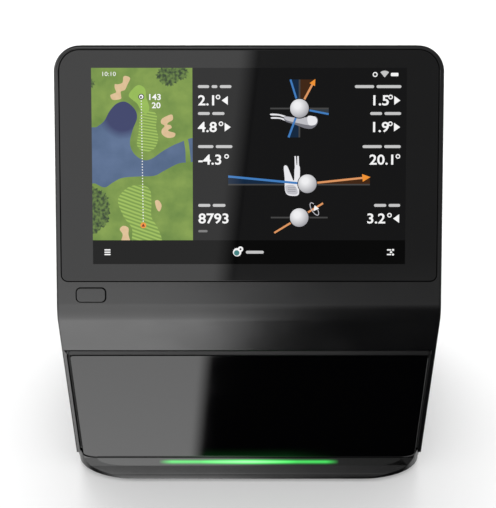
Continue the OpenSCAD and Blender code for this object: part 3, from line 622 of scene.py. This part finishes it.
# ---- Front housing ----

RIM_LEVELS = (BODY_BOTTOM, BUMPER_TOP, 60, 100, 139, 146, 160)
FACE_LEVELS = (220, 260, 300, 335)
STEPS = 14


def edge_radius(s):
    """Rounding of the long edges, which is larger on the screen face than on the wall below."""
    share = min(1, max(0, (s - BEND_START) / (BEND_END - BEND_START)))
    return WALL_EDGE_R + (FACE_EDGE_R - WALL_EDGE_R) * share


def housing_rim():
    """Points round the front inside its edge, as (x, s, dx, ds, r), with the way out and the radius."""
    bend = [BEND_START + (BEND_END - BEND_START) * i / STEPS for i in range(STEPS + 1)]
    levels = [*RIM_LEVELS, *bend, *FACE_LEVELS]
    side = [(edge_radius(s) - HALF_W, s, -1, 0, edge_radius(s)) for s in levels]
    corner_s, corner_x, reach = TOP_S - HEAD_R, HALF_W - HEAD_R, HEAD_R - FACE_EDGE_R
    turn = arc((0, 0), 1, 180, 90, STEPS)
    corner = [(-corner_x + reach * c, corner_s + reach * s, c, s, FACE_EDGE_R) for c, s in turn]
    left = side + corner
    return left + [(-x, s, -dx, ds, r) for x, s, dx, ds, r in reversed(left)]


def edge_section(radius):
    """Half section of the wall at an edge, as (growth, depth): rounded outside, open at the back."""
    roll = [math.radians(90 * i / 7) for i in range(8)]
    blunt = 0.3
    return [(radius * math.sin(t), radius * (1 - math.cos(t))) for t in roll] + [
        (radius, SIDE_DEPTH - blunt), (radius - blunt, SIDE_DEPTH), (radius - WALL, SIDE_DEPTH),
        (radius - WALL, WALL + 0.5), (min(0, radius - WALL), WALL)]


def housing_skin():
    """Closed hollow shell of the front, without its openings."""
    rim = housing_rim()
    verts, faces = [], []
    for x, s, dx, ds, radius in rim:
        section = edge_section(radius)
        verts += [on_front(x + grow * dx, s + grow * ds, depth) for grow, depth in section]
    count = len(section)
    for i in range(len(rim) - 1):
        for k in range(count - 1):
            near, far = i * count + k, (i + 1) * count + k
            faces.append((near, far, far + 1, near + 1))
    last = (len(rim) - 1) * count
    faces.append(tuple(range(count)) + tuple(last + k for k in reversed(range(count))))
    outline = [Vector((x, s)) for x, s, *_ in rim]
    folds = [(i, len(rim) - 1 - i) for i in range(len(rim) // 2)]
    _, _, cells, origins, _, _ = delaunay_2d_cdt(outline, folds, [list(range(len(rim)))], 3, SAME_DRAWN)
    for depth, wall in ((0, 0), (WALL, WALL)):
        start = len(verts)
        for origin in origins:
            x, s, dx, ds, radius = rim[origin[0]]
            grow = min(0, radius - wall)
            verts.append(on_front(x + grow * dx, s + grow * ds, depth))
        faces += [tuple(start + i for i in cell) for cell in cells]
    piece = add_mesh("front_shell", verts, faces)
    tidy_mesh(piece)
    return piece


def glass_outline(grow):
    """Outline of the cover glass about its middle, whose lower corners are tighter than its upper ones."""
    x, y = GLASS_W / 2 + grow, GLASS_H / 2 + grow
    corners = ((-1, -1, 180, GLASS_LOW_R), (1, -1, 270, GLASS_LOW_R),
               (1, 1, 0, GLASS_R), (-1, 1, 90, GLASS_R))
    return [p for sx, sy, a, r in corners
            for p in arc((sx * (x - r - grow), sy * (y - r - grow)), r + grow, a, a + 90, 12)]


def pocket_tool(outline, centre, radius, floor):
    """Cutter for a hole in the screen face, with a rounded upper edge. outline(grow) gives its loop."""
    levels = [(radius, 3), *[(grow, out + 0.002) for grow, out in edge_round(radius)], (0, floor)]
    return stack("pocket", [[on_face(centre[0] + x, centre[1] + y, out) for x, y in outline(grow)]
                            for grow, out in levels])


def window_tools():
    """Cutters for the window opening, for the bevel above it, and for the bumper below it."""
    corner = 4
    outline = [(-WINDOW_CUT, -5), (WINDOW_CUT, -5)]
    for side, start in ((1, 0), (-1, 90)):
        outline += arc((side * (WINDOW_CUT - corner), OPENING_TOP - corner), corner, start, start + 90, 8)
    opening = stack("opening", [[on_front(x, s, depth) for x, s in outline] for depth in (-2, WALL + 0.6)])
    slope = [(-1, OPENING_TOP + 4), (1.5, OPENING_TOP - 0.6), (-1, OPENING_TOP - 3)]
    bevel = stack("bevel", [[on_front(x, s, depth) for depth, s in slope]
                            for x in (-WINDOW_CUT, WINDOW_CUT)])
    past = 5
    room = [(-past, BUMPER_TOP), (BUMPER_BACK, BUMPER_TOP), (BUMPER_BACK, -past), (-past, -past)]
    ends = (-HALF_W - past, HALF_W + past)
    below = stack("below", [[on_front(x, s, depth) for depth, s in room] for x in ends])
    return opening, bevel, below


def make_front_shell(materials):
    shell = housing_skin()
    width, height, corner = BUTTON_HOLE
    glass_pocket = pocket_tool(lambda grow: glass_outline(GLASS_SEAM + grow), (0, GLASS_MID), 0.35, -6)
    button_hole = pocket_tool(lambda grow: rounded(width + 2 * grow, height + 2 * grow, corner + grow),
                              BUTTON_AT, 0.4, -6)
    opening, bevel, below = window_tools()
    for piece in (shell, bevel, below):
        piece.data.materials.append(materials["housing"])
    # The cut walls take the gap material: painted shade, so that the openings show dark shadow lines
    for piece in (glass_pocket, button_hole, opening):
        piece.data.materials.append(materials["gap"])
    cut(shell, glass_pocket, button_hole, opening, bevel, below)
    tidy_mesh(shell)
    smooth(shell)
    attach(shell, "chassis")
    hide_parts("front_housing")


# ---- Camera window ----

def window_outline(half_w, low, high, low_corner, top_r):
    """The window's shape, with wide corners at its foot: (x, s) points."""
    wide, tall = low_corner
    foot = [(half_w - wide + wide * math.sin(t), low + tall - tall * math.cos(t)) for t in
            (math.radians(90 * i / 8) for i in range(9))]
    right = foot + arc((half_w - top_r, high - top_r), top_r, 0, 90, 5)
    return right + [(-x, s) for x, s in reversed(right)]


def make_window_glass(materials):
    """Dark glass whose edges are rounded, nearly flush with the front."""
    face, back, radius = 0.3, 3.9, 0.4
    levels = [(0, back)] + [(grow, face - out) for grow, out in
                            ((-radius * math.sin(t), radius * (math.cos(t) - 1)) for t in
                             (math.radians(30 * i) for i in range(4)))]
    loops = [[on_front(x, s, depth) for x, s in window_outline(
        WINDOW_GLASS_HALF + grow, WINDOW_GLASS_LOW - grow + 0.1, WINDOW_GLASS_TOP + grow,
        (11 + grow, 5 + grow), 3 + grow)]
        for grow, depth in levels]
    glass = stack("window_glass", loops)
    glass.data.materials.append(materials["window"])
    smooth(glass, 40)
    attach(glass, "chassis")
    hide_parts("window_panel")


def make_window_lip(materials):
    """Satin strip of the window carrier that shows over the glass."""
    low, high = WINDOW_GLASS_TOP - 0.3, OPENING_TOP + 0.6
    levels = [(0, 2.4), (0, 1.3), (-0.3, 0.9)]
    lip = stack("window_lip", [[on_front(x, (low + high) / 2 + s, depth) for x, s in
                                rounded(2 * (WINDOW_CUT - 1.6 + grow), high - low + 2 * grow, 1.9 + grow, 6)]
                               for grow, depth in levels])
    lip.data.materials.append(materials["inner_black"])
    smooth(lip)
    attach(lip, "chassis")


# ---- Screen ----

def make_screen_glass(materials):
    """Cover glass with a rounded edge, on a ledge inside the front housing."""
    radius = 0.45
    levels = [(0.0, GLASS_OUT - GLASS_T)]
    levels += [(-grow, GLASS_OUT + out) for grow, out in reversed(edge_round(radius))]
    glass = stack("screen_glass", [
        [on_face(x, GLASS_MID + y, out) for x, y in glass_outline(grow)] for grow, out in levels])
    glass.data.materials.append(materials["cover_glass"])
    smooth(glass, 40)
    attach(glass, "chassis")
    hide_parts("cover_glass")


def blob(points, steps=5):
    """Smooth closed curve through the points."""
    count = len(points)
    curve = []
    for i in range(count):
        a, b, c, d = (Vector(points[(i + k - 1) % count]) for k in range(4))
        for step in range(steps):
            t = step / steps
            square, cube = 2 * a - 5 * b + 4 * c - d, 3 * b - a - 3 * c + d
            p = 0.5 * (2 * b + (c - a) * t + square * t * t + cube * t ** 3)
            curve.append((p.x, p.y))
    return curve


def stroke(a, b, width):
    """Thin rectangle from a to b."""
    a, b = Vector(a), Vector(b)
    side = (b - a).orthogonal().normalized() * width / 2
    return [tuple(p) for p in (a - side, b - side, b + side, a + side)]


def grown(outline, push):
    """Outline moved outward by push(i) at its i-th point."""
    count = len(outline)
    result = []
    for i in range(count):
        along = Vector(outline[(i + 1) % count]) - Vector(outline[i - 1])
        normal = Vector((along.y, -along.x)).normalized()
        result.append(tuple(Vector(outline[i]) + normal * push(i)))
    return result


def edged(outline, amount):
    return grown(outline, lambda i: amount)


def leafy(outline):
    """Outline with a ragged edge, for trees."""
    return grown(outline, lambda i: 0.7 * math.sin(i * 2.3) + 0.5 * math.sin(i * 5.1 + 1))


def block(left, low, right, high):
    return [(left, low), (right, low), (right, high), (left, high)]


def draw(layers, name, *outlines):
    """Puts outlines, filled with a named picture material, on top of what is drawn so far."""
    layers += [(name, outline) for outline in outlines]


def disc(centre, radius, steps=28):
    return arc(centre, radius, 0, 360 - 360 / steps, steps - 1)


def digits(text, at, height, align="LEFT", weight=0.018):
    """Triangles of plain numbers, at their lower left or lower right corner."""
    data = bpy.data.curves.new("digits", "FONT")
    data.body = text
    data.resolution_u = 3
    data.offset = weight
    data.align_x = align
    holder = bpy.data.objects.new("digits", data)
    mesh = holder.to_mesh()
    scale = height / DIGIT_CAP
    shapes = []
    for polygon in mesh.polygons:
        corners = [mesh.vertices[i].co for i in polygon.vertices]
        shapes.append([(at[0] + p.x * scale * DIGIT_STRETCH, at[1] + p.y * scale) for p in corners])
    holder.to_mesh_clear()
    bpy.data.objects.remove(holder)
    bpy.data.curves.remove(data)
    return shapes


def reading(layers, number, x, v, side, arrow=0):
    """A large number with a degree sign, and an arrowhead that points left (-1) or right (1)."""
    height = 7.0
    widths = {".": 2.5, "-": 3.8, "1": 3.9}
    width = sum(widths.get(c, 5.9) for c in number)
    degree, head = 3.4, (5.4 if arrow else 0)
    left = x if side < 0 else x - width - degree - head
    draw(layers, "figures", *digits(number, (left, v), height))
    ring = (left + width + 1.5, v + height - 1.5)
    draw(layers, "figures", disc(ring, 1.6))
    draw(layers, "panel", disc(ring, 0.85))
    if arrow:
        tip = left + width + degree + (0.6 if arrow < 0 else 4.8)
        back = tip - arrow * 4.2
        draw(layers, "figures", [(tip, v + 3.2), (back, v + 6.2), (back, v + 0.2)])


def word_bars(layers, lengths, x, v, side, height=2.0, name="labels"):
    """Plain bars where a label's words would be."""
    gap = 1.6
    total = sum(lengths) + gap * (len(lengths) - 1)
    at = x if side < 0 else x - total
    for length in lengths:
        draw(layers, name, rounded(length, height, height * 0.48, 4, (at + length / 2, v + height / 2)))
        at += length + gap


def golf_hole(layers):
    """The map: h is measured up from the bar and u from the left edge of the picture."""
    def place(points):
        return [(PICTURE_LEFT - 0.4 + u, BAR_TOP + h) for u, h in points]

    def shape(*points):
        return blob(place(points))

    water = shape((-2, 74), (4, 78), (9, 82), (13, 89), (18, 94), (24, 95), (30, 90), (31.5, 84),
                  (28.5, 76), (26.5, 67), (29, 60), (35, 55.5), (41, 56), (50, 62), (60, 67), (72, 70),
                  (72, 55.5), (60, 53), (50, 48), (43, 44.5), (32, 44), (21, 43), (14, 39.5), (9, 36.5),
                  (3, 39), (-2, 43))
    green = shape((26, 99), (29, 104), (33, 106.5), (37, 104), (38, 98), (40, 91), (38, 87), (34.5, 89),
                  (31.5, 94))
    fairway = shape((34, 86), (40, 89.5), (45, 86), (44.5, 78), (46, 70), (43, 63), (37, 61), (31.5, 65),
                    (32.5, 74))
    tee = shape((18, 26), (20, 32), (26, 37), (34, 38), (40, 35), (41, 26), (41, 16), (45, 9), (48, -2),
                (38, -4), (28, -2), (27.5, 8), (22, 16))
    sand = [
        [(13.4, 99.4), (15.4, 100.6), (17.4, 101.6), (16.4, 104.6), (16.6, 107), (18.8, 107),
         (21.8, 108.2), (22.4, 112), (24.4, 112.6), (27, 111), (25, 106.4), (23.4, 103.2), (20.6, 102),
         (20.8, 99), (20.4, 97), (15, 96.4)],
        [(48.2, 83), (51, 85), (55.4, 86.4), (56, 83), (53, 81), (52.2, 79.6), (54.4, 79.2), (55.2, 77.4),
         (53, 76), (53.4, 75), (57.6, 73.6), (56.6, 71), (52, 70.6), (48.6, 73), (48.4, 76), (50.4, 78.6),
         (48, 80.4)],
        [(43.5, 27), (46, 27.5), (48, 24), (46.5, 20), (44.5, 22)],
        [(19, 7.5), (21.5, 10), (25, 8.5), (25, 4), (26, -2), (20, -2), (21, 4)],
    ]
    trees = [
        [(45, 112), (47, 117), (52, 121), (60, 121), (66, 117), (65, 111.5), (60, 109.5), (55, 106),
         (50, 107)],
        [(-2, 36), (4, 35), (8, 33), (11, 29), (12, 22), (11, 13), (6, 8), (-2, 5)],
        [(-2, 111), (1, 110), (2.5, 107.5), (1, 105), (-2, 104)],
    ]
    draw(layers, "grass", block(PICTURE_LEFT, BAR_TOP, MAP_RIGHT, PICTURE_HIGH))
    for outline in trees:
        draw(layers, "trees", leafy(blob(place(outline), 8)))
    draw(layers, "shore", edged(water, 0.7))
    draw(layers, "water", water)
    draw(layers, "grass", shape((63.5, 70), (66, 70.5), (67.5, 62), (68, 53), (65, 53), (64.5, 62)))
    for outline in (fairway, tee, green):
        draw(layers, "rough", edged(outline, 0.6))
    draw(layers, "mown_far", fairway)
    draw(layers, "mown_near", tee)
    draw(layers, "green", green)
    for outline in sand:
        draw(layers, "lip", edged(shape(*outline), 0.45))
        draw(layers, "sand", shape(*outline))
    marks = ((34.5, 98.5), (35.3, 10.3), (38.8, 96.4), (41.6, 90.8), (7.2, 112.6))
    flag, start, far, drop, clock = place(marks)
    dots = 44
    for i in range(dots):
        t = (i + 1.5) / (dots + 1)
        dot = (flag[0] + (start[0] - flag[0]) * t, flag[1] + (start[1] - flag[1]) * t)
        draw(layers, "figures", disc(dot, 0.42, 10))
    draw(layers, "ink", disc(flag, 2.0))
    draw(layers, "figures", disc(flag, 1.45))
    draw(layers, "ink", disc((flag[0] - 0.2, flag[1] - 0.2), 0.7))
    draw(layers, "amber", disc(start, 2.0))
    draw(layers, "ember", [(start[0] + x, start[1] + v) for x, v in ((0, 1.4), (-1.2, -0.9), (1.2, -0.9))])
    draw(layers, "figures", *digits("143", far, 4.1))
    draw(layers, "figures", *digits("20", drop, 4.0))
    draw(layers, "figures", *digits("10:10", clock, 3.0, weight=0))


def arrow(layers, a, b, width, colour, head_colour, head=4.4):
    a, b = Vector(a), Vector(b)
    way = (b - a).normalized()
    side = way.orthogonal() * head * 0.48
    neck = b - way * head
    draw(layers, colour, stroke(a, neck + way * 0.2, width))
    draw(layers, head_colour, [tuple(b), tuple(neck + side), tuple(neck - side)])


def place_about(centre, points, steps=5):
    """Smooth closed curve through points given from a centre."""
    return blob([(centre[0] + x, centre[1] + v) for x, v in points], steps)


def club_from_above(layers, ball):
    """Iron seen from above, behind the ball."""
    for name, points in (
            ("club_light", [(-19.5, -3.6), (-14, -3.9), (-9, -5.4), (-9.5, -6.4), (-14, -5), (-19.5, -4.7)]),
            ("club_light", [(-19, -6), (-13.5, -6.2), (-9, -7.6), (-9.5, -8.6), (-13.5, -7.2), (-19, -7)]),
            ("club_dark", [(-10, -5.4), (0, -6.6), (11, -5.6), (12.4, -10), (9, -13.6), (4, -13.6),
                           (-3, -11), (-9.5, -8.8)]),
            ("club_mid", [(-9.6, -5.6), (0, -6.6), (10.5, -5.4), (11, -9.2), (7, -11.4), (-1, -10),
                          (-9, -8)]),
            ("club_light", [(5.6, -5.6), (9.5, -5.4), (12.2, -7.6), (11, -11), (6.4, -11.2)])):
        draw(layers, name, place_about(ball, points))


def club_face_on(layers, ball):
    """Iron seen from behind, with its shaft."""
    x, v = ball
    for top, foot, width in ((-8.9, -8.4, 1.8), (-7.0, -6.9, 1.6)):
        draw(layers, "club_light", [(x + top, v + 19), (x + top + 1, v + 19), (x + foot + width, v + 2),
                                    (x + foot, v + 2)])
    head = [(-16.2, 11.6), (-14, 12.2), (-11.6, 7), (-9.2, 2.2), (-8.6, 11.6), (-5.2, 11.6), (-5.6, -3),
            (-6, -7.4), (-9, -8.4), (-13.6, -7.6), (-15.4, -4), (-15.6, 4)]
    face = [(-14.6, -1.2), (-9, -1.2), (-6.6, -5.4), (-8, -7.4), (-13.4, -6.8), (-14.8, -4)]
    draw(layers, "club_light", place_about(ball, head, 4))
    draw(layers, "club_mid", place_about(ball, face))
    for i in range(3):
        groove = v - 2.8 - i * 1.2
        draw(layers, "club_dark", stroke((x - 13.4, groove), (x - 8, groove), 0.3))


def draw_ball(layers, name, ring=0.6):
    draw(layers, "ink", disc(BALLS[name], BALL_R + ring, 36))
    draw(layers, name, disc(BALLS[name], BALL_R, 36))


def diagrams(layers):
    """Club path, launch angle and spin axis, each drawn round a ball."""
    x, v = BALLS["ball_above"]
    top, low = v + 19.6, v - 19.8
    draw(layers, "blue_wash", [(x - 6.2, top), (x, top), (x, v)], [(x - 7.4, low), (x, low), (x, v)])
    draw(layers, "amber_wash", [(x, top), (x + 10.5, top), (x, v)])
    draw(layers, "grey_wash", [(x, v), (x + 20, v), (x + 20, v - 3.8)])
    draw(layers, "guide", stroke((x, top), (x, low), 1.1))
    draw(layers, "guide", stroke((x - 20, v - 0.1), (x + 20, v - 0.1), 1.1))
    draw(layers, "blue", stroke((x - 6.2, top), (x, v), 1.3))
    draw(layers, "blue", stroke((x, v), (x + 20, v - 3.9), 1.3))
    arrow(layers, (x, v), (x + 10.8, top + 0.4), 1.4, "amber_line", "amber")
    club_from_above(layers, (x, v))
    draw(layers, "blue", stroke((x - 1.6, v - 4), (x - 7.4, low), 1.4))
    draw_ball(layers, "ball_above")

    x, v = BALLS["ball_side"]
    level = v - 0.6
    left, right = x - 54.4, x + 43
    draw(layers, "blue_wash", [(left, level), (left, level + 5.6), (x - 6, level)])
    draw(layers, "amber_wash", [(x, level), (right, level), (right, level + 5)])
    draw(layers, "guide", stroke((left, level), (right, level), 1.0))
    club_face_on(layers, (x, v))
    draw(layers, "blue", stroke((left, level + 5.6), (x - 6.4, v + 0.4), 1.5))
    arrow(layers, (x, v), (right + 0.4, v + 4.6), 1.4, "amber_line", "amber", 5.6)
    draw_ball(layers, "ball_side", 0.5)

    x, v = BALLS["ball_spin"]
    draw(layers, "guide", stroke((x - 19.6, v), (x + 19.6, v), 1.1))
    draw(layers, "amber_line", stroke((x - 17.2, v - 10.6), (x + 16.4, v + 9.9), 1.3))
    draw_ball(layers, "ball_spin")
    hub, lean = Vector((x + 10.4, v + 5.9)), math.radians(-59)
    for i in range(20):
        angles = (math.radians(40 + i * 15), math.radians(56 + i * 15))
        a, b = (Vector((1.9 * math.cos(t), 4.9 * math.sin(t))) for t in angles)
        turn = Matrix.Rotation(lean + math.pi / 2, 2)
        draw(layers, "club_mid", stroke(hub + turn @ a, hub + turn @ b, 0.55))
    draw(layers, "figures", [(hub.x + dx, hub.y + dv) for dx, dv in ((0.2, 2.6), (3.2, 0.2), (-0.6, -1.4))])


def status_icons(layers):
    """Plain marks for the radio, the signal and the battery, and three buttons in the lower bar."""
    draw(layers, "figures", disc((86.1, 165.1), 1.7))
    draw(layers, "panel", disc((86.1, 165.1), 1.0))
    fan = [(92.6, 163.1)] + arc((92.6, 163.1), 4.6, 50, 130, 10)
    draw(layers, "labels", fan)
    draw(layers, "figures", rounded(5.2, 2.3, 0.6, 4, (99.4, 165.1)))
    for i in range(3):
        draw(layers, "figures", rounded(4.2, 0.9, 0.3, 3, (-97.8, 44.8 - i * 1.6)))
    draw(layers, "figures", disc((-8.2, 43.2), 2.9))
    draw(layers, "teal", disc((-8.5, 42.7), 1.9))
    draw(layers, "figures", disc((-5.9, 45.3), 1.9))
    draw(layers, "bar", disc((-5.9, 45.3), 0.7))
    for i, (length, shift) in enumerate(((3.0, 0), (1.6, 1.4), (3.0, 0))):
        draw(layers, "figures", rounded(length, 0.9, 0.3, 3, (96.8 + shift, 44.8 - i * 1.6)))
        draw(layers, "figures", disc((99.5 - shift, 44.8 - i * 1.6), 0.75, 14))


def picture_layers():
    layers = []
    draw(layers, "panel", block(PICTURE_LEFT, PICTURE_LOW, PICTURE_RIGHT, PICTURE_HIGH))
    golf_hole(layers)
    draw(layers, "panel", block(MAP_RIGHT, PICTURE_LOW, PICTURE_RIGHT, PICTURE_HIGH))
    diagrams(layers)
    for lengths, v in (((7.8, 4, 8), 155.9), ((8.2, 8.4), 137.6), ((10.6, 11.4), 115.0), ((8.4, 8.8), 74.6)):
        word_bars(layers, lengths, TEXT_LEFT, v, -1)
    for lengths, v in (((13.2, 17), 155.9), ((8.2, 11.4), 137.6), ((13.2, 11.4), 115), ((8.4, 8), 74.6)):
        word_bars(layers, lengths, TEXT_RIGHT, v, 1)
    for number, v, mark in (("2.1", 144.3, -1), ("4.8", 126.1, 1), ("-4.3", 103.8, 0)):
        reading(layers, number, TEXT_LEFT, v, -1, mark)
    for number, v, mark in (("1.5", 144.3, 1), ("1.9", 126.1, 1), ("20.1", 103.8, 0), ("3.2", 63.3, -1)):
        reading(layers, number, TEXT_RIGHT, v, 1, mark)
    draw(layers, "figures", *digits("8793", (TEXT_LEFT, 63.3), 7.0))
    word_bars(layers, (6.4,), TEXT_LEFT, 57.0, -1, 1.6, "dim_labels")
    draw(layers, "bar", block(PICTURE_LEFT, PICTURE_LOW, PICTURE_RIGHT, BAR_TOP))
    word_bars(layers, (12.4,), -2.2, 42.2, -1, 2.0)
    status_icons(layers)
    return layers


PLAIN_COLOURS = {
    "panel": (11, 11, 12), "ink": (8, 8, 8), "figures": (246, 246, 246),
    "labels": (196, 196, 196), "dim_labels": (120, 120, 120), "guide": (66, 66, 66),
    "shore": (86, 116, 52), "rough": (92, 124, 48), "lip": (188, 186, 112), "ember": (120, 30, 16),
    "amber": (240, 146, 50), "amber_line": (222, 150, 96), "amber_wash": (62, 34, 12),
    "blue": (64, 124, 190), "blue_wash": (10, 36, 62), "grey_wash": (48, 56, 64), "teal": (70, 130, 130),
    "club_light": (232, 232, 236), "club_mid": (190, 190, 196), "club_dark": (118, 118, 126),
}

# Size of the patches in metres, their detail, the range of the noise, and the two colours
PATCHES = {
    "grass": (0.012, 6, 0.3, 0.7, (100, 132, 52), (128, 156, 68)),
    "trees": (0.0022, 5, 0.38, 0.62, (34, 57, 27), (98, 126, 56)),
    "green": (0.006, 4, 0, 1, (132, 172, 66), (156, 192, 84)),
    "sand": (0.003, 4, 0, 1, (206, 172, 128), (228, 200, 158)),
}


def picture_materials():
    """The material of each kind of shape in the picture. The bar is the least glossy."""
    painted = {"water": paint_water,
               "mown_far": paint_mown(9, 2 * MM), "mown_near": paint_mown(20, 2.4 * MM)}
    painted.update({name: paint_patches(*values) for name, values in PATCHES.items()})
    painted.update({name: paint_ball(at) for name, at in BALLS.items()})
    made = {name: lit("picture_" + name, srgb(*colour)) for name, colour in PLAIN_COLOURS.items()}
    made["bar"] = lit("picture_bar", (0, 0, 0, 1), gloss=0.19)
    made.update({name: lit("picture_" + name, paint=paint) for name, paint in painted.items()})
    return made


def covers(outline, point):
    """Whether an outline encloses a point, by counting the edges to the right of it."""
    inside = False
    for (ax, ay), (bx, by) in zip(outline, outline[1:] + outline[:1]):
        if (ay > point.y) != (by > point.y) and point.x < ax + (point.y - ay) * (bx - ax) / (by - ay):
            inside = not inside
    return inside


def box_of(outline):
    xs, vs = zip(*outline)
    return min(xs), min(vs), max(xs), max(vs)


def top_layer(layers, boxes, point):
    """Name of the last drawn shape over a point."""
    for (name, outline), (left, low, right, high) in zip(reversed(layers), reversed(boxes)):
        if left < point.x < right and low < point.y < high and covers(outline, point):
            return name
    return None


def make_picture():
    """The lit picture: one flat sheet cut up by its shapes, where the last shape drawn wins."""
    layers = picture_layers()
    boxes = [box_of(outline) for _, outline in layers]
    points, edges = [], []
    for _, outline in layers:
        first, count = len(points), len(outline)
        points += [Vector(p) for p in outline]
        edges += [(first + i, first + (i + 1) % count) for i in range(count)]
    flat, _, cells, _, _, _ = delaunay_2d_cdt(points, edges, [], 0, SAME_DRAWN)
    made = picture_materials()
    names = sorted(made)
    thick, sunk = 0.06, 0.02
    keep, picks = [], []
    for cell in cells:
        middle = sum((flat[i] for i in cell), Vector((0, 0))) / len(cell)
        inside = PICTURE_LEFT < middle.x < PICTURE_RIGHT and PICTURE_LOW < middle.y < PICTURE_HIGH
        if inside:
            keep.append(cell)
            picks.append(names.index(top_layer(layers, boxes, middle)))
    picture = add_mesh("screen_picture", [on_face(p.x, p.y, GLASS_OUT + thick) for p in flat], keep)
    for name in names:
        picture.data.materials.append(made[name])
    picture.data.polygons.foreach_set("material_index", picks)
    work = bmesh.new()
    work.from_mesh(picture.data)
    bmesh.ops.delete(work, geom=[v for v in work.verts if not v.link_faces], context="VERTS")
    for face in work.faces:
        if face.normal.dot(OUT) < 0:
            face.normal_flip()
    rim = [e for e in work.edges if e.is_boundary]
    skirt = bmesh.ops.extrude_edge_only(work, edges=rim)["geom"]
    low_verts = [g for g in skirt if isinstance(g, bmesh.types.BMVert)]
    low_edges = [g for g in skirt if isinstance(g, bmesh.types.BMEdge) and g.is_boundary]
    bmesh.ops.translate(work, verts=low_verts, vec=-OUT * (thick + sunk) * MM)
    bmesh.ops.edgeloop_fill(work, edges=low_edges, mat_nr=names.index("panel"))
    work.to_mesh(picture.data)
    work.free()
    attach(picture, "chassis")


# ---- Putting it together ----

SOFT_EDGES = {
    0.3: ("vent_grille", "speaker_grille"),
    0.4: ("rear_housing", "battery_door", "port_door", "base_plate", "wheel_left", "wheel_right"),
    0.5: ("power_button", "handle_pocket", "foot_left", "foot_right"),
    1.0: ("handle_bar",),
}


def dress_nodes(materials):
    """Gives each CAD node the material of its slot, and rounds the edges that show."""
    for part in frame["record"]["subparts"]:
        mesh = frame["nodes"][part["node"]].data
        mesh.materials.clear()
        mesh.materials.append(materials[part["material_slot"]])
    frame["nodes"]["front_bumper"].visible_glossy = False
    soften("front_bumper", 0.45, 10)
    lift("light_bar", 0.06)
    for width, nodes in SOFT_EDGES.items():
        for node in nodes:
            soften(node, width)


make_camera()
make_floor()
make_world()
bpy.context.scene.view_settings.view_transform = "Standard"
area_light("overhead", (-0.12, 0.75, 1.5), (0, 0, 0.1), 1.1, 14)
make_softboxes()

materials = slot_materials()
dress_nodes(materials)
make_front_shell(materials)
make_window_glass(materials)
make_window_lip(materials)
make_screen_glass(materials)
make_picture()
